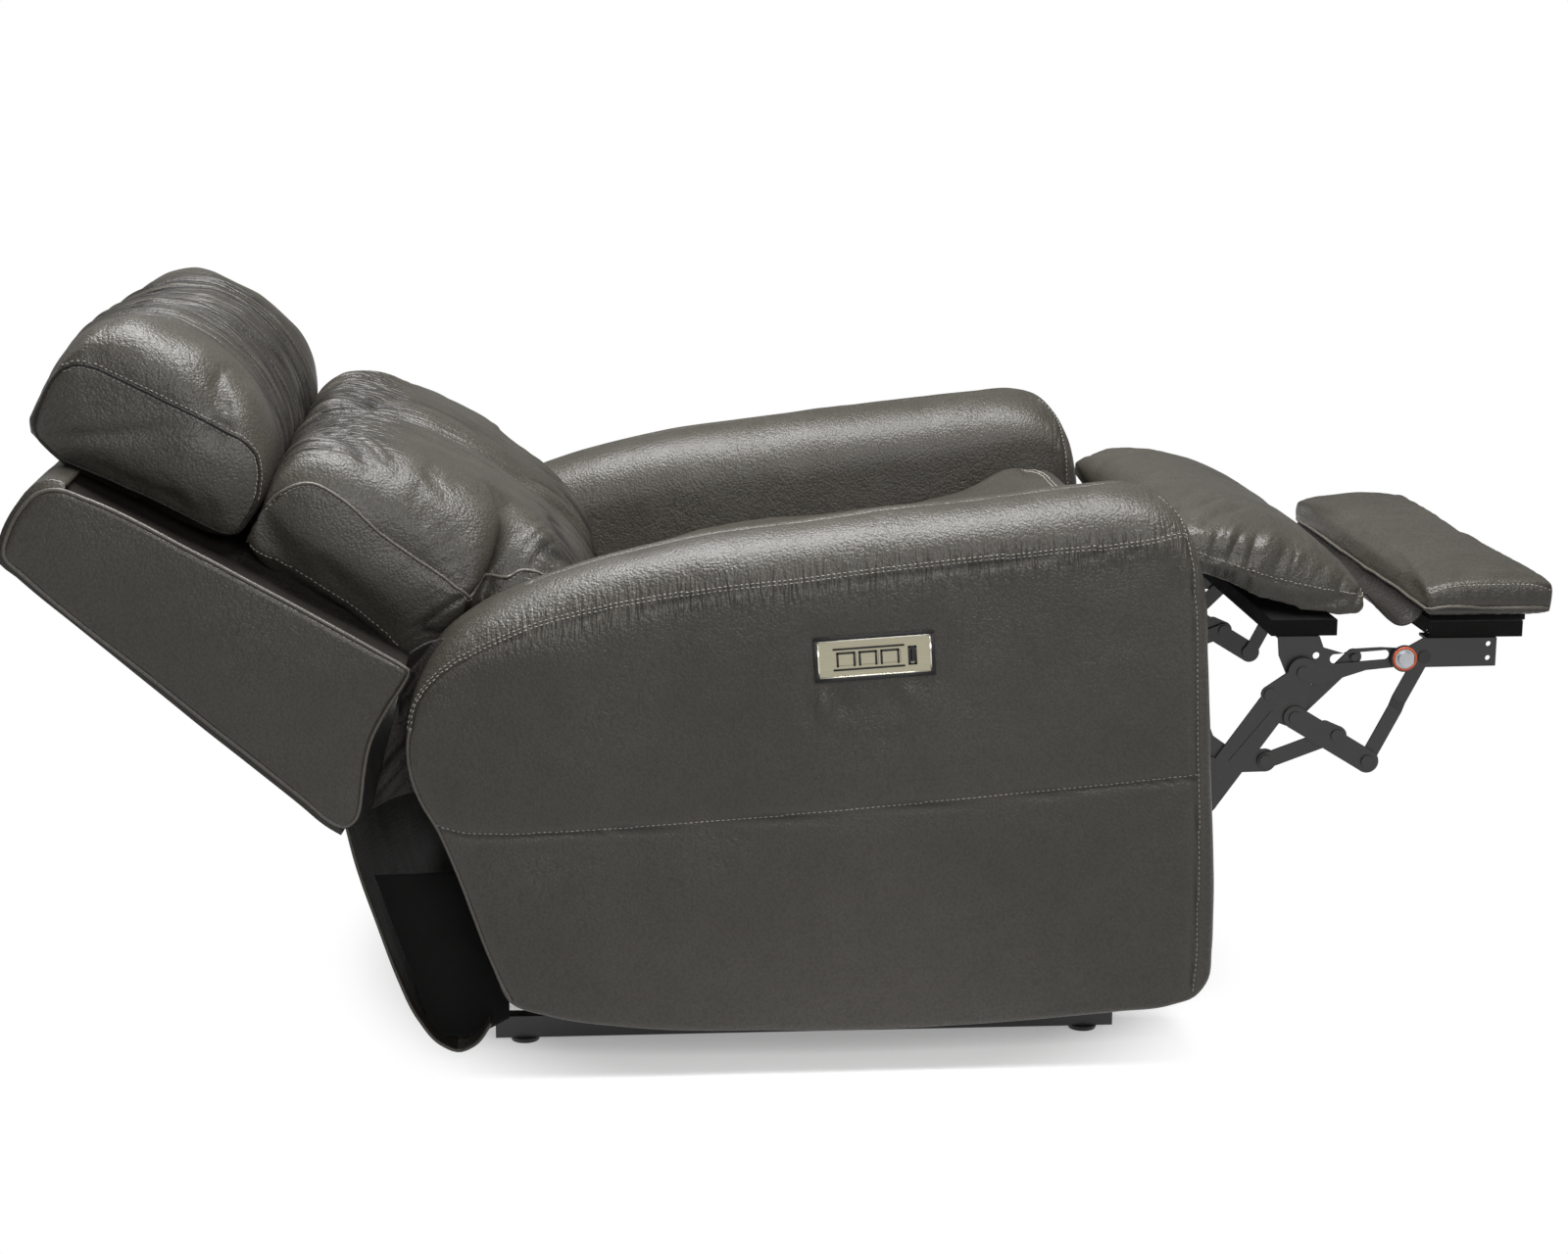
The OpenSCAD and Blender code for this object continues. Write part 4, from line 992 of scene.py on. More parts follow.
# %% Make the seat
SEAT_TOPS = [(-176, 446), (-90, 458), (0, 462), (180, 466), (255, 482), (318, 520), (352, 532),
             (376, 520)]
SEAT_SEAM = [(330, -264, 512), (334, -190, 530), (336, 0, 536), (334, 190, 530), (330, 264, 512)]
SEAT_EDGE = [(372, -286, 480), (378, -150, 484), (380, 0, 484), (378, 150, 484), (372, 286, 480)]
seat_paths = [on_unit(SEAT_SEAM), on_unit(SEAT_EDGE)]
seat = made_pad("seat_leather", [cushion_part(on_unit, 290, -172, 372, 415, SEAT_TOPS, 26, 4)],
                6.0, seat_paths, 16)
x, y, z = on_unit.own(points_of(seat)).T
# the lower front corners are drawn in to SEAT_NECK, so that the folding links pass
SEAT_NECK = 260
notch = ease(x, 152, 166) * ease(-z, -496, -484)
drawn = np.sign(y) * (np.abs(y) * (1 - notch) + SEAT_NECK * notch)
y = np.where(np.abs(y) > SEAT_NECK, drawn, y)
set_points(seat, on_unit(np.stack([x, y, z], -1)))
press_seams(seat, seat_paths, 3.0, 2.6, 0.8, 24)
p = points_of(seat)
swell(seat, noise(p, 60, 11) * 1.2 + noise(p * [1, 0.4, 1], 18, 12) * 0.5)
tree = upholster(seat, "seat", "seat_cushion")
sewn("seat_stitches", [stitch_part(tree, seat_paths[0], a) for a in (3.0, -3.0)], "seat")
print("seat faces:", len(seat.data.polygons))

# %% [markdown]
# ## Back cushion
# Two fat lobes with a topstitched channel between them, hung between boxed sides that run
# wider than the gap of the arms. Leather bunches up under the headrest and creases where
# the lobes meet the seat. Two boxy shapes are fused by the remesh, so the notch above the
# arms comes out soft.

# %% Back cushion shape
BACK_TOPS = [(-346, 66), (-331, 84), (-282, 100), (-230, 108), (-177, 111), (-118, 109),
             (-68, 101), (-21, 88), (22, 70), (38, 58), (50, 42)]
WING_DROPS = [(-338, 66), (-300, 56), (-260, 62), (-226, 76), (-184, 88), (-144, 92), (-100, 96)]
WING_LOWS = [(-342, -50), (-270, -54), (-200, -60), (-140, -72), (-100, -80)]
back_boxes = [
    cushion_part(back_axes, 285, -341, 44, -41, BACK_TOPS, 48, 8, (22, 36), 62, (0.3, 0.42)),
    cushion_part(back_axes, 336, -343, -98, WING_LOWS, BACK_TOPS, WING_DROPS, 2, (22, 36), 76,
                 (0.22, 0.3))]
SIDE_SEAM = [(339, -330, 2), (331, -337, 26), (319, -338, 42), (306, -338, 50), (290, -339, 51),
             (260, -339, 47), (226, -339, 37), (184, -338, 30), (144, -338, 26), (112, -338, 21),
             (96, -336, 20), (90, -318, 30), (84, -303, 44), (76, -298, 60), (62, -295, 73),
             (46, -293, 79), (26, -292, 80), (0, -290, 72), (-24, -284, 52)]
LOW_SIDE = [(334, -336, -46), (270, -338, -50), (200, -338, -56), (150, -336, -66)]
MIDDLE = [(348, 0, 40), (326, 0, 66), (298, 0, 84), (271, 0, 92), (235, 0, 95), (195, 0, 97)]
back_paths = both([on_back(SIDE_SEAM)]) + [on_back(MIDDLE)]
back = made_pad("back_leather", back_boxes, 6.2, back_paths, 9, (3.2, 3.4, 1.4, 24))
print("back faces:", len(back.data.polygons))

# %% Back cushion folds
q = on_back.own(points_of(back))
s, y, n = q.T
face = ease(n, 20, 60) * ease(-np.abs(y), -325, -285)
upper = ease(s, 215, 322)
lobe = bell(np.abs(y) - 10, 120)
low = ease(-s, -120, -20) * face
crook = bell(s - 62, 45) * bell(np.abs(y) - 250, 50) * face
fan = y + 6 * noise(q, 70, 4) + y * ease(s, 200, 340) * 0.35
side = ease(np.abs(y), 300, 335)
folds, dark = fold_sum([
    (7.5, gathers(fan, s, 21, 150, 21), upper * face),
    (6.0, gathers(y, s, 40, 260, 23), lobe * ease(s, 60, 240) * face),
    (6.0, gathers(y * 0.9 + s * 0.35, s, 26, 120, 31), low),
    (4.5, gathers(s + y * 0.3, y, 28, 120, 37), crook),
    (4.0, gathers(s + 0.6 * n, n, 22, 70, 41), side * ease(-s, -200, -120)),
])
folds += noise(q, 70, 17) * 1.8 + noise(q, 30, 18) * 0.6
# painted shade: the leather darkens the fold valleys and, under the gather mark, the valleys of its
# fine gathers
tag(back, "fold", dark)
tag(back, "gather", upper * face + 0.5 * low + 0.3 * lobe * face * ease(s, 40, 160))
swell(back, folds)
tree = upholster(back, "back", "back_cushion")
rows = [stitch_part(tree, path, side * 3.0) for path, side in zip(back_paths[:2], (1, -1))]
rows += [stitch_part(tree, back_paths[2], a) for a in (-4.0, 4.0)]
rows += [stitch_part(tree, path, 0.0) for path in both([on_back(LOW_SIDE)])]
sewn("back_stitches", rows, "back")
sewn("back_piping", [laid_cord(tree, p, 1.9, 0.3) for p in back_paths[:2]], "back", lit_piping)
print("folds up to", round(float(folds.max()), 1), "mm")

# %% [markdown]
# ## Headrest
# A boxed roll: flat piped ends, and a face gathered so tightly that fine folds run over it
# from front to back, deepest in the middle. The folds are a noise that is short across the
# roll and long over it. They fade out towards the ends, where the leather is stretched.

# %% Make the headrest
HEAD_TOPS = [(-595, 46), (-588, 72), (-578, 89), (-552, 107), (-520, 114), (-483, 115),
             (-442, 109), (-410, 99), (-388, 87), (-370, 71), (-356, 54), (-344, 36)]
HEAD_LOWS = [(-590, -50), (-540, -58), (-470, -56), (-390, -51), (-340, -48)]
HEAD_DROPS = [(-586, 30), (-560, 52), (-520, 60), (-440, 58), (-400, 50), (-360, 30)]
head_box = cushion_part(back_axes, 340, -592, -343, HEAD_LOWS, HEAD_TOPS, HEAD_DROPS, 2, None,
                        68, (0.26, 0.34))
HEAD_END = [(584, -341, 34), (574, -342, 44), (560, -342, 49), (541, -342, 51), (509, -342, 52),
            (477, -342, 53), (441, -342, 55), (405, -342, 57), (378, -342, 57), (362, -342, 54),
            (351, -342, 43), (346, -341, 26), (343, -341, 8), (344, -341, -22), (349, -341, -44),
            (362, -342, -50), (389, -342, -51), (425, -342, -53), (470, -342, -56),
            (522, -342, -60), (544, -342, -60), (560, -342, -56), (573, -342, -48),
            (583, -341, -34), (588, -341, -14), (590, -341, 4), (589, -341, 22)]
head_paths = both([on_back(HEAD_END + HEAD_END[:1])])
head = made_pad("headrest_leather", [head_box], 5.4, head_paths, 8, (3.0, 2.6, 1.2, 22))
q = on_back.own(points_of(head))
s, y, n = q.T
face = ease(n, -45, 10) * ease(-np.abs(y), -292, -150)
folds, dark = fold_sum([
    (7.5, gathers(y + 5 * noise(q, 90, 9), s, 21, 230, 51), face),
    (9.0, gathers(y, s, 52, 400, 53), face * bell(y, 190)),
])
folds += noise(q, 80, 27) * 1.6 + noise(q, 34, 28) * 0.5
# painted shade: the leather darkens the fold valleys and, under the gather mark, the valleys of its
# fine gathers
tag(head, "fold", dark)
tag(head, "gather", face)
swell(head, folds)
tree = upholster(head, "headrest", "headrest_cushion")
rows = [stitch_part(tree, path[:13], a * side) for path, side in zip(head_paths, (1, -1))
        for a in (-3.4, 3.4)]
sewn("headrest_stitches", rows, "headrest")
cords = [laid_cord(tree, path, 1.7, 0.3, closed=True) for path in both([on_back(HEAD_END)])]
# painted shade: the headrest piping wears the darker copy of the leather
sewn("headrest_piping", cords, "headrest", shaded_leather)
print("headrest faces:", len(head.data.polygons))

# %% [markdown]
# ## Back shell
# The rear of the back is a shallow leather case: two padded sides, and one panel that wraps
# over the top and down the rear, piped where they meet. The sides are outlines with rounded
# edges, and the wrap is a thin closed section drawn across the chair.

# %% Shell shapes
SHELL = [(131, -63, 6, 6), (138, -62, 6, 6), (160, -61, 7, 7), (240, -58.5, 7, 7),
         (377, -56.5, 7, 7), (500, -59, 7, 7), (528, -64, 8, 8), (542, -76, 8, 8),
         (548, -95, 8, 8), (548.5, -130, 8, 8), (543, -149, 7, 7), (520, -156, 6, 6),
         (342, -195, 6, 6), (156, -234, 6, 6), (124, -241, 6, 6), (111, -240, 6, 6),
         (106, -229, 6, 6), (112, -205, 6, 6), (121, -181, 6, 6), (130, -151, 6, 6),
         (132, -113, 6, 6), (130, -78, 6, 6), (130, -67, 6, 6)]


def panel_part(outline, face, thick, spine, place, rows=26):
    """A flat padded panel: rings move in from the rounded edge of the outline to the spine,
    and both faces swell gently towards it, by 2.5 times one less the way gone squared."""
    rim = smooth_path(outline, 6.0, 2, True)
    o, w, b = rim[:, :2], rim[:, 2], rim[:, 3]
    a, d = as_points(spine[0]), as_points(spine[1]) - as_points(spine[0])
    c = a + np.clip(((o - a) @ d) / (d @ d), 0, 1)[:, None] * d
    way = o - c
    far = np.linalg.norm(way, axis=1)
    k = np.linspace(0, 1, rows)[:, None]
    t = np.linspace(0.2, np.pi / 2, 6)
    inset = np.concatenate([far - (far - w) * k, w * (1 - np.sin(t)[:, None])])
    depth = np.concatenate([-2.5 * (1 - k**2) + 0 * far, b * (1 - np.cos(t)[:, None])])
    inset = np.concatenate([inset, inset[::-1]])
    depth = np.concatenate([depth, thick - depth[::-1]])
    flat = o[None] - (way / far[:, None])[None] * inset[..., None]
    grid = np.stack([flat[..., 0], face + depth, flat[..., 1]], -1)
    return place(grid), grid_faces(*grid.shape[:2], close_v=True)


def wrap_part(path, thick, half, place, rows=90, bulge=3.0):
    """A thick sheet across the chair: the path, walked out and back one thickness further
    in, is a closed ring, repeated along Y, and swells by bulge in the middle."""
    line = smooth_path(path, 6.0, 2)
    t = slopes(line)
    normal = np.stack([t[:, 1], -t[:, 0]], -1)
    v = np.linspace(-1, 1, rows)[:, None, None]
    belly = bulge * (1 - v**4) * np.sin(np.pi * np.linspace(0, 1, len(line)))[None, :, None]
    outer = line[None] + normal[None] * belly
    inner = (line - normal * thick)[::-1][None] + 0 * v
    ring = np.concatenate([outer, inner], 1)
    grid = np.stack([ring[..., 0], half * v[..., 0] + 0 * ring[..., 0], ring[..., 1]], -1)
    return skin_part(grid, place)


WRAP = [(520, -62.5), (532, -65), (543, -76), (547.5, -96), (548, -130), (543, -150),
        (520, -156.5), (420, -179), (299, -205.5), (160, -234.5), (126, -242), (110, -243)]
SHELL_SPINE = ((230, -130), (470, -110))
shell_parts = [panel_part(SHELL, y, 20.0, SHELL_SPINE, on_back) for y in (-425.0, 405.0)]
shell_parts.append(wrap_part(WRAP, 8.0, 417.0, on_back))
shell = put_mesh("shell_leather", shell_parts, 0.05)
shell_edge = [on_back([(s, y, n) for s, n, _, _ in SHELL]) for y in (-421.0, 421.0)]
p = points_of(shell)
rear_seams = [on_back([(520, y, -156), (299, y, -206), (130, y, -241)]) for y in (-210, 210)]
press_seams(shell, rear_seams, 2.6, 1.8, 0.0, 20)
swell(shell, noise(p, 120, 61) + noise(p, 45, 62) * 0.35)
tree = upholster(shell, "back", "back_shell")
cords = [laid_cord(tree, path, 2.2, 1.2, closed=True) for path in shell_edge]
sewn("shell_piping", cords, "back", lit_piping)
rows = [stitch_part(tree, path, a) for path in rear_seams for a in (-3.0, 3.0)]
sewn("shell_stitches", rows, "back")
print("shell faces:", len(shell.data.polygons))

# %% [markdown]
# The frame's front is closed with the darker copy of the leather, painted shade that shows
# between cushion and shell. It is one grid, stretched flat over the boards and drawn back beside
# them.

# %% Back lining
s, y = np.meshgrid(np.linspace(42, 528, 90), np.linspace(-404, 404, 150), indexing="ij")
over = -41.2 - 17.6 * ease(s, 330, 342)
n = over + (-67 - over) * ease(np.abs(y), 284, 330)
n = n + noise(np.stack([s, y, 0 * n], -1), 60, 66) * 0.9
lining = put_mesh("back_lining", [(on_back(np.stack([s, y, n], -1)), grid_faces(90, 150))],
                  0, False)
# painted shade: the lining wears the darker copy of the leather
dress(lining, shaded_leather, "back")
print("lining made")

# %% [markdown]
# ## Rear skirt and gussets
# A leather skirt hangs from the foot of the shell and turns under the chair, so the wall
# never sees the works. A pleated gusset closes the gap between shell and arm on each side.
# Both join two units that move, but here their points ride on neither.

# %% Rear skirt
SKIRT = [(-516, 268), (-508, 225), (-489, 164), (-467, 100), (-447, 56), (-424, 27), (-405, 19),
         (-388, 26), (-371, 49)]
line = smooth_path(SKIRT, 5.0, 2)
v = np.linspace(-1, 1, 150)[:, None]
t = slopes(line)
out = np.stack([t[:, 1], -t[:, 0]], -1)
wave = noise(np.stack([v * 419 + 0 * line[None, :, 0], 0 * v + line[None, :, 1],
                       0 * v + 0 * line[None, :, 0]], -1), 70, 71) * 1.8
grid = np.stack([line[None, :, 0] - out[None, :, 0] * wave, 419 * v + 0 * wave,
                 line[None, :, 1] - out[None, :, 1] * wave], -1)
skirt = sheet_mesh("rear_skirt", grid, 3)
press_seams(skirt, [on_row(grid[6]), on_row(grid[-7])], 2.4, 0.4, 0.0)
dress(skirt, leather)
# painted shade: the faces turned in under the chair take the darker copy of the leather
skirt.data.materials.append(shaded_leather)
facing = np.empty(len(skirt.data.polygons) * 3)
skirt.data.polygons.foreach_get("normal", facing)
inward = (facing.reshape(-1, 3)[:, 0] > 0.15).astype(int)
skirt.data.polygons.foreach_set("material_index", inward)
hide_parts("rear_flap")
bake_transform(skirt)

# %% Side gussets and dust cloth
def ruled(low, high, nu, nv):
    """Grid between two curves: straight lines from the low one to the high one."""
    a, b = (smooth_path(c, 1.0, 2) for c in (low, high))
    a, b = (np.stack([np.interp(np.linspace(0, 1, nu), np.linspace(0, 1, len(c)), c[:, k])
                      for k in range(2)], -1) for c in (a, b))
    t = np.linspace(0, 1, nv)[None, :, None]
    return a[:, None] * (1 - t) + b[:, None] * t


for side, name in ((-1, "right"), (1, "left")):
    # the gusset, folded across its slope
    flat = ruled([(-493, 280), (-466, 296), (-440, 303), (-408, 306)],
                 [(-449, 450), (-434, 458), (-417, 462), (-396, 464)], 60, 70)
    x, z = flat[..., 0], flat[..., 1]
    fold = gathers(x * 0.75 - (z - 300) * 0.62, x + z, 26, 160, 81)
    y = side * (398 + fold * 12 + 6 * np.cos((x + 450) / 22))
    gusset = sheet_mesh("gusset_" + name, np.stack([x, y, z], -1), 2.0)
    # painted shade: the gusset wears the darker copy of the leather
    dress(gusset, shaded_leather)
    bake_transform(gusset)
    # the dust cloth behind the arm
    flat = ruled([(-434, 30), (-405, 24), (-380, 30), (-352, 44)],
                 [(-492, 206), (-450, 207), (-400, 209), (-352, 212)], 40, 40)
    x, z = flat[..., 0], flat[..., 1]
    bow = noise(np.stack([x, z, 0 * x], -1), 45, 85 + side) * 2.5
    cloth = sheet_mesh("dust_cloth_" + name, np.stack([x, side * (388 + bow), z], -1), 1.2)
    dress(cloth, felt, "seat")
    "arm_cover_" + name
print("gussets and dust cloth made")

# %% [markdown]
# ## Calf pad
# The pad that carries the calves starts at the seat's front edge and slopes down. Its cover
# is loose, so its near border crumples along the lower seam. Below, the middle is drawn up
# flat, which leaves room for the torque tube and the drive links once the footrest is folded.

# %% Make the calf pad
CALF_TOPS = [(-24, 42), (10, 60), (50, 66), (100, 66), (170, 55), (220, 38)]
CALF_LOWS = [(-20, 2), (50, -7), (100, -17), (150, -19), (190, -13), (219, -4)]
calf_box = cushion_part(on_calf, 284, -20, 220, CALF_LOWS, CALF_TOPS, 30, 3, None, 80,
                        (0.34, 0.42))
CALF_HALF = [(-16, -283, 20), (30, -288, 16), (99, -288, 12), (160, -288, 13), (205, -287, 17),
             (219, -278, 20), (222, -240, 21)]
CALF_SEAM = CALF_HALF + [(223, 0, 21)] + [(x, -y, z) for x, y, z in CALF_HALF[::-1]]
calf_paths = [on_calf(CALF_SEAM)]
calf = made_pad("calf_leather", [calf_box], 5.0, calf_paths, 9, (2.6, 2.4, 0.8, 20))
q = on_calf.own(points_of(calf))
x, y, z = q.T
top = ease(z, 18, 45)
folds = gathers(x + 8 * noise(q, 60, 3), y, 15, 70, 91) * 1.3 * top * ease(np.abs(y), 60, 260)
border = ease(np.abs(y), 235, 285) * ease(z, -14, 16)
folds += gathers(x + 0.5 * np.abs(y), z, 21, 90, 93) * 4.5 * border
folds += noise(q, 55, 95) * 1.5 + noise(q, 24, 96) * 0.5
swell(calf, folds)
x, y, z = on_calf.own(points_of(calf)).T
UNDERSIDE = -3
raised = np.clip(UNDERSIDE - z, 0, 40) * ease(-np.abs(y), -281, -274)
set_points(calf, on_calf(np.stack([x, y, z + raised], -1)))
tree = upholster(calf, "calf", "calf_pad")
sewn("calf_stitches", [stitch_part(tree, calf_paths[0], -2.6)], "calf")
print("calf faces:", len(calf.data.polygons))

# %% [markdown]
# ## Foot pad
# A thin boxed pad on a felted board, with short puckers at its ends and a piped lower edge.

# %% Make the foot pad
FOOT_TOPS = [(654, 486), (694, 494), (754, 495), (800, 490)]
foot_box = cushion_part(on_row, 291, 655, 799, 451, FOOT_TOPS, 9, 1, None, 16, (0.16, 0.2))
ring = [(662, -289), (728, -291), (792, -289), (797, -280), (798, 0), (797, 280), (792, 289),
        (728, 291), (662, 289), (657, 280), (656, 0), (657, -280)]
foot_low = on_row([(x, y, 460) for x, y in ring])
foot_end = [on_row([(660, s * 289, 481), (676, s * 290, 487), (728, s * 290, 490),
                    (780, s * 290, 488), (795, s * 289, 482)]) for s in (-1, 1)]
foot_paths = [np.vstack([foot_low, foot_low[:1]])] + foot_end
foot = made_pad("foot_leather", [foot_box], 4.5, foot_paths, 5, (2.4, 1.8, 0.6, 16))
q = points_of(foot)
x, y, z = q.T
top = ease(z, 470, 484)
folds = gathers(y + 6 * noise(q, 40, 2), x, 11, 90, 101) * 1.2 * top
folds += gathers(x, z, 9, 60, 103) * 1.6 * ease(np.abs(y), 270, 288) * ease(-z, -486, -472)
folds += noise(q, 45, 105) * 1.2
swell(foot, folds)
tree = upholster(foot, "foot", "foot_pad")
sewn("foot_piping", [laid_cord(tree, foot_low, 2.0, 0.8, closed=True)], "foot", lit_piping)
sewn("foot_stitches", [stitch_part(tree, path, 2.4) for path in foot_end], "foot")
board = [(672, -268), (774, -268), (776, -266), (776, 266), (774, 268), (672, 268), (670, 266),
         (670, -266)]
levels = [[(x, y, z) for x, y in board] for z in (442.2, 446.0, 452.0)]
sewn("foot_felt", [skin_part(levels, on_row)], "foot", felt, 0.02)
print("foot faces:", len(foot.data.polygons))

# %% [markdown]
# ## Web between calf and foot
# A strip of leather hangs between the two pads so that nothing drops through. It has to bend
# as the foot folds, but here its points ride on neither unit.

# %% Make the web
line = smooth_path([(592, 474), (606, 462), (622, 449), (636, 443), (650, 447), (660, 462)],
                   3.0, 2)
v = np.linspace(-1, 1, 240)[:, None]
x, z = line[None, :, 0] + 0 * v, line[None, :, 1] + 0 * v
y = 272 * v + 0 * x
wrinkle = gathers(y + 5 * noise(np.stack([y, x, z], -1), 30, 6), x, 12, 60, 111)
sag = 5 * bell(np.abs(v) - 1, 0.06) * np.sin((x - 592) / 68 * np.pi)
web = sheet_mesh("foot_web", np.stack([x, y, z + wrinkle * 2.6 - sag], -1), 2.2)
# painted shade: the web wears the darker copy of the leather
dress(web, shaded_leather)
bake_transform(web)

# %% [markdown]
# ## Small trim
# The works have a few bright spots: a green washer behind the knee rivet, a red ring under
# the big bolt and a return spring. The control plate has dark lines above and below its
# buttons, painted shade down the sides and across the top of each button, a painted shadow
# in the gap round itself and a painted highlight on its rim. They are rings, helices and thin
# boxes.


# %% Trim
def disc_part(centre, y0, y1, r0, r1, steps=48):
    """Flat ring around an axis along Y: four corners turned round the centre."""
    a = np.linspace(0, 2 * np.pi, steps, endpoint=False)[:, None]
    r = np.array([[r0, r1, r1, r0]])
    y = np.array([[y0, y0, y1, y1]]) + 0 * a
    grid = np.stack([centre[0] + r * np.cos(a), y, centre[1] + r * np.sin(a)], -1)
    return on_row(grid), grid_faces(steps, 4, True, True)


def coil_part(a, b, radius, wire, turns):
    """A helix of wire about the line from a to b, with straight tails on the line."""
    a, b = as_points(a), as_points(b)
    axis = b - a
    length = np.linalg.norm(axis)
    axis /= length
    side = np.cross(axis, [0, 0, 1])
    side /= np.linalg.norm(side)
    other = np.cross(axis, side)
    t = np.linspace(0, 1, int(turns * 14))[:, None]
    swing = radius * np.clip(np.minimum(t, 1 - t) * 14, 0, 1)
    path = a + axis * length * t + swing * (side * np.cos(2 * np.pi * turns * t)
                                            + other * np.sin(2 * np.pi * turns * t))
    return cord_part(on_row(path), np.tile(side, (len(path), 1)) + 0.01, wire, 6)


def bright(name, colours, metallic, rough):
    """A plain finish: two close colours mixed by a soft cloud, which also dulls the shine."""
    def recipe(place):
        dull = place.cloud(120.0, 3.0)
        return dull.mix(*colours), dull * 0.2 + rough, dull * 0.02
    return material(name, recipe, **{"Metallic": metallic})


green = bright("washer_green", (rgb(20, 120, 66), rgb(40, 160, 92)), 0.0, 0.35)
red = bright("washer_red", (rgb(190, 70, 40), rgb(220, 110, 70)), 0.0, 0.4)
spring_steel = bright("spring_steel", (rgb(170, 172, 176), rgb(220, 222, 225)), 1.0, 0.2)
# dark strips: lines on the plate, painted shade round the buttons and painted shadow in the gap
# round the plate
dark_line = bright("line_dark", (rgb(8, 8, 8), rgb(16, 15, 15)), 0.0, 0.6)
# painted highlight: a pale ring where the plate's bevel catches the light
rim_highlight = bright("plate_rim_painted_highlight", (rgb(206, 203, 190), rgb(226, 223, 210)), 0.8, 0.2)


def outer_face(layer):
    """Distance from the middle to the outer face of a link: plates 3.05 thick, 3.6 apart."""
    return 262.1 + 3.6 * layer + 3.05


washers, rings, springs = [], [], []
for s in (-1, 1):
    y_mid, y_foot = s * outer_face(1), s * outer_face(3)
    washers.append(disc_part((526.5, 386.5), y_mid, y_mid + s * 0.5, 8.2, 13.6))
    rings.append(disc_part((639, 401), y_foot, y_foot + s * 1.6, 11.2, 13.6))
    springs.append(coil_part((668, s * 258, 430), (686, s * 262, 410), 3.2, 0.8, 9))
for name, parts, body, finish in (("knee_washers", washers, "knee", green),
                                  ("foot_rings", rings, "foot", red),
                                  ("foot_springs", springs, "foot", spring_steel)):
    sewn(name, parts, body, finish)


# %% Lines on the control plate
def strip(kind, x0, x1, z0, z1, y0=-457.5, y1=-456.4):
    """A thin box on the plate, by its two opposite corners in level axes."""
    rings = [[(x, y, z) for z, y in ((z0, y0), (z1, y0), (z1, y1), (z0, y1))]
             for x in np.linspace(x0, x1, 6)]
    kind.append(skin_part(rings, on_unit))


tongues, rims = [], []
for z0 in (436.4, 458.2):  # above and below the buttons
    strip(tongues, 13, 87, z0, z0 + 1.9)
# painted shade: dark strips down both sides and across the top of each button
for x0, x1 in ((16.5, 36.0), (39.5, 58.5), (62.0, 81.5)):  # round each button
    strip(tongues, x0, x0 + 2.2, 440.5, 455.8)
    strip(tongues, x1 - 2.2, x1, 440.5, 455.8)
    strip(tongues, x0, x1, 453.7, 455.8)
# round the socket
for x0, x1, z0, z1 in ((90.6, 99.6, 437.6, 439.6), (90.6, 99.6, 455.6, 457.6),
                       (90.6, 92.8, 437.6, 457.6), (97.4, 99.6, 437.6, 457.6)):
    strip(tongues, x0, x1, z0, z1)
# painted shadow in the gap outside the plate's edge, and a painted highlight on the rim inside it
x0, x1, z0, z1 = -3.0, 115.0, 429.0, 469.0
for grow, kind, y0, y1 in ((3.4, tongues, -458.6, -452.0), (-1.6, rims, -457.6, -456.4)):
    for a, b, c, d in ((x0 - grow, x1 + grow, z0 - grow, z0),
                       (x0 - grow, x1 + grow, z1, z1 + grow),
                       (x0 - grow, x0, z0, z1), (x1, x1 + grow, z0, z1)):
        strip(kind, min(a, b), max(a, b), min(c, d), max(c, d), y0, y1)
sewn("plate_rim_painted_highlight", rims, "seat", rim_highlight, 0.001)
sewn("plate_lines", tongues, "seat", dark_line, 0.001)
print("trim made")

# %% [markdown]
# ## Floor, light and camera
# The chair stands on a pale floor that is white to the camera but still takes its shadow.
# One big softbox overhead and a wide fill from the front light it at a plain level, and the
# world gives an even white all round. The camera looks from where the photograph was taken.


# %% Floor and world
def seen_by(owner, *rays):
    """Clears the owner's nodes. 1 for the named kinds of ray and 0 for others: the largest of
    their Light Path values."""
    owner.use_nodes = True
    tree = owner.node_tree
    tree.nodes.clear()
    path = tree.nodes.new("ShaderNodeLightPath")
    seen = Socket(tree, path.outputs[rays[0]])
    for ray in rays[1:]:
        seen = seen.math("MAXIMUM", Socket(tree, path.outputs[ray]))
    return seen


def white_level(seen):
    """Full white where it is seen, and a quarter of that as light on the chair."""
    return {"Color": (1, 1, 1, 1), "Strength": seen * 0.76 + 0.24}


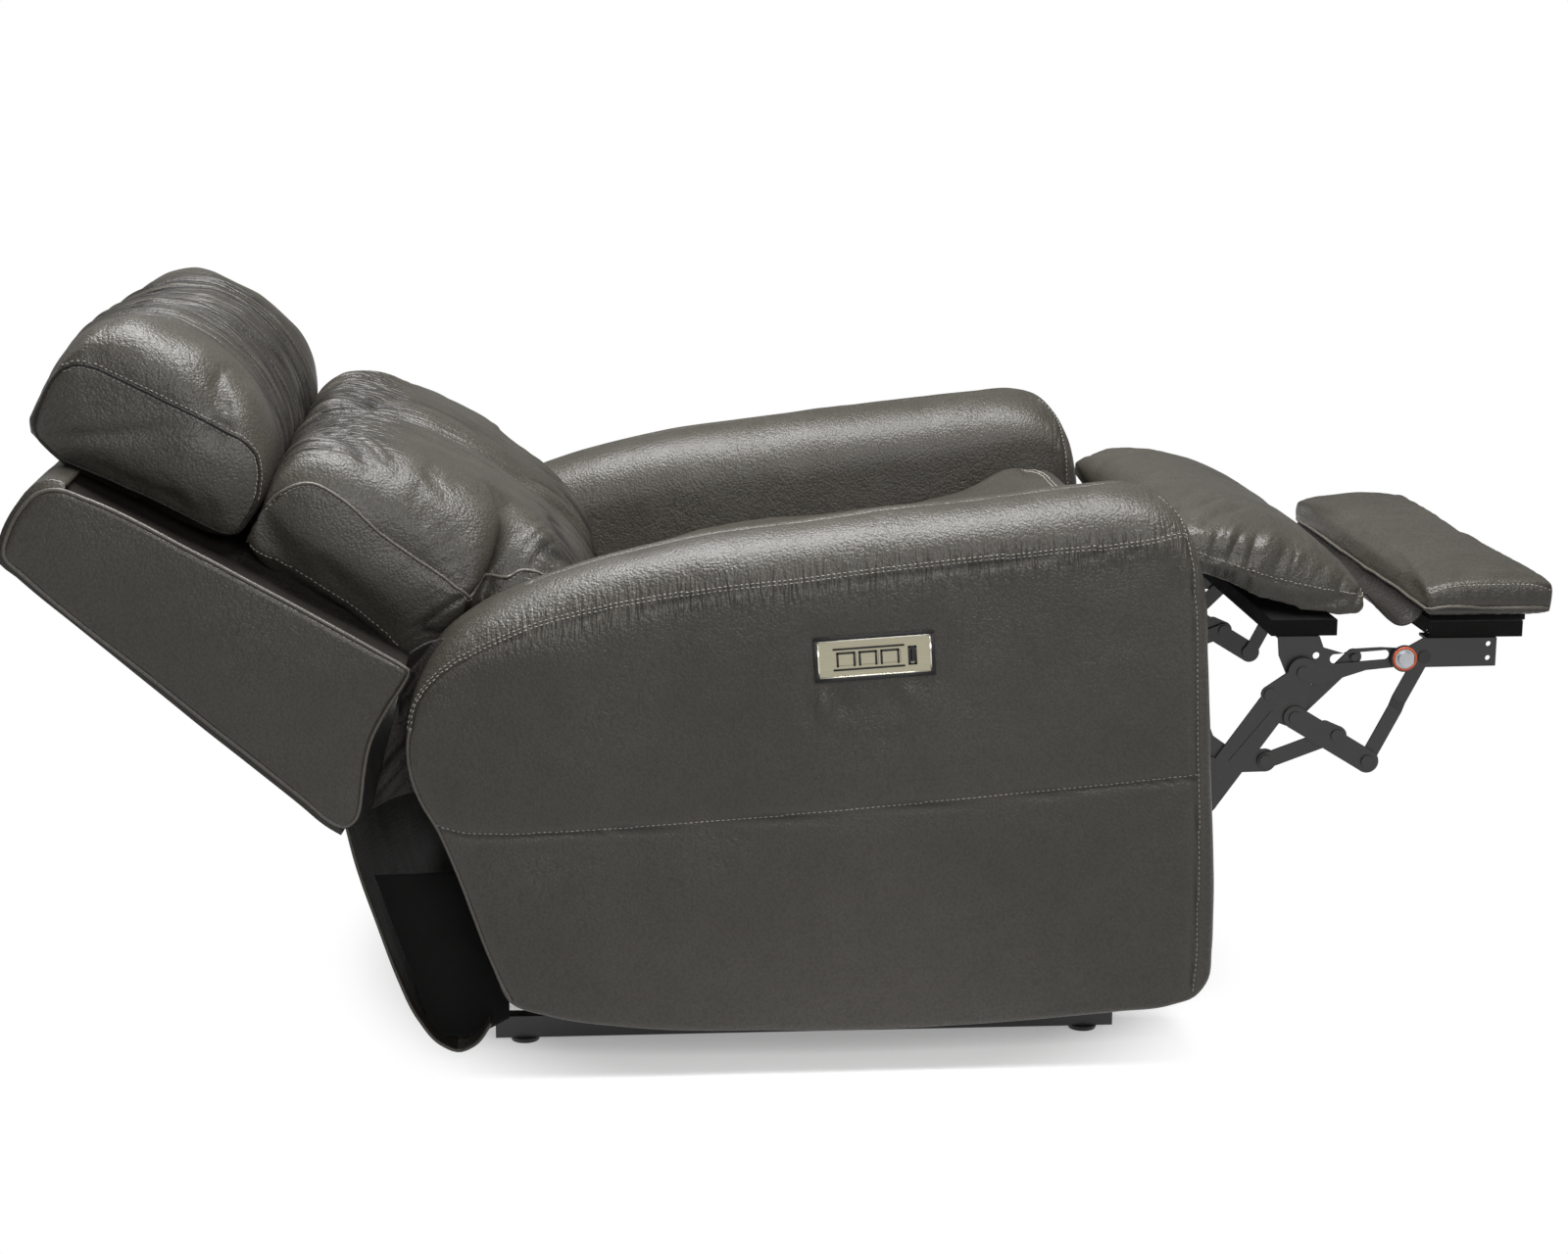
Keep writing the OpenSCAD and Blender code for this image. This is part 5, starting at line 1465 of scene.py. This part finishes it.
def stage_recipe():
    """White diffuse floor, with a little white light added for camera and mirror rays only.
    Away from the chair it fades into plain white, by 3f2-2f3 of the distance."""
    mat = bpy.data.materials.new("floor_white")
    seen = seen_by(mat, "Is Camera Ray", "Is Glossy Ray", "Is Transmission Ray")
    paint = seen.node("ShaderNodeBsdfDiffuse", {}, {"Color": (0.92, 0.92, 0.92, 1)})
    glow = seen.node("ShaderNodeEmission", {}, {"Color": (1, 1, 1, 1), "Strength": seen * 0.3})
    near_floor = seen.node("ShaderNodeAddShader", {}, {0: paint, 1: glow})
    white = seen.node("ShaderNodeEmission", {}, white_level(seen))
    spot = Socket(seen.tree, seen.tree.nodes.new("ShaderNodeTexCoord").outputs["Object"])
    far = spot.node("ShaderNodeVectorMath", {"operation": "LENGTH"},
                    {0: spot.stretch((1 / 0.55, 1 / 0.72, 1))}, "Value")
    fade = ((far - 0.66) / 0.34).clamp(0.0, 1.0)
    fade = fade * fade * (3.0 - fade * 2.0)
    both_shaders = seen.node("ShaderNodeMixShader", {}, {0: fade, 1: near_floor, 2: white})
    seen.node("ShaderNodeOutputMaterial", {}, {"Surface": both_shaders})
    return mat


# 18 m across, half a millimetre below the glides
size = np.linspace(-9, 9, 13)
floor_grid = np.stack(np.meshgrid(size, size, [-0.0005], indexing="ij"), -1)[:, :, 0]
floor = put_mesh("floor", [(floor_grid / MM, grid_faces(13, 13))], 0, False)
floor.data.materials.append(stage_recipe())
world = bpy.data.worlds.new("studio")
bpy.context.scene.world = world
seen = seen_by(world, "Is Camera Ray", "Is Transmission Ray")
sky = seen.node("ShaderNodeBackground", {}, white_level(seen))
seen.node("ShaderNodeOutputWorld", {}, {"Surface": sky})


def softbox(name, place, target, width, height, power):
    """A rectangular lamp at its place, turned to face the target."""
    light = bpy.data.lights.new(name, "AREA")
    light.shape, light.size, light.size_y, light.energy = "RECTANGLE", width, height, power
    lamp = bpy.data.objects.new(name, light)
    lamp.location = place
    lamp.rotation_euler = (Vector(target) - Vector(place)).to_track_quat("-Z", "Y").to_euler()
    bpy.context.scene.collection.objects.link(lamp)


# name, place, target, width and height in metres, power in watts
softbox("overhead", (-0.1, -0.1, 2.6), (0.0, 0.0, 0.4), 2.6, 0.9, 128)
softbox("front_fill", (0.7, -3.6, 2.0), (0.0, 0.0, 0.4), 2.4, 1.2, 62)
softbox("left_rim", (-3.0, 0.6, 2.2), (-0.2, 0.0, 0.5), 1.2, 1.8, 9)
print("floor, world and three softboxes")

# %% Camera
YAW, PITCH, ROLL = (math.radians(a) for a in (4.62, 12.16, 0.37))
EYE = (-0.2727, -3.3422, 1.1074)
SENSOR, FOCAL_SHARE = 36.0, 2956.5 / 1600  # focal length over the picture's width
ahead = np.array([math.sin(YAW) * math.cos(PITCH), math.cos(YAW) * math.cos(PITCH),
                  -math.sin(PITCH)])
right = np.array([math.cos(YAW), -math.sin(YAW), 0])
up = np.cross(right, ahead)
right, up = (math.cos(ROLL) * right + math.sin(ROLL) * up,
             -math.sin(ROLL) * right + math.cos(ROLL) * up)
eye = bpy.data.cameras.new("eye")
eye.sensor_width, eye.lens = SENSOR, FOCAL_SHARE * SENSOR
camera = bpy.data.objects.new("camera", eye)
turn = Matrix(np.stack([right, up, -ahead], -1).tolist()).to_4x4()
camera.matrix_world = Matrix.Translation(EYE) @ turn
bpy.context.scene.collection.objects.link(camera)
bpy.context.scene.camera = camera
bpy.context.scene.view_settings.view_transform = "Standard"
print("camera at", camera.location[:])
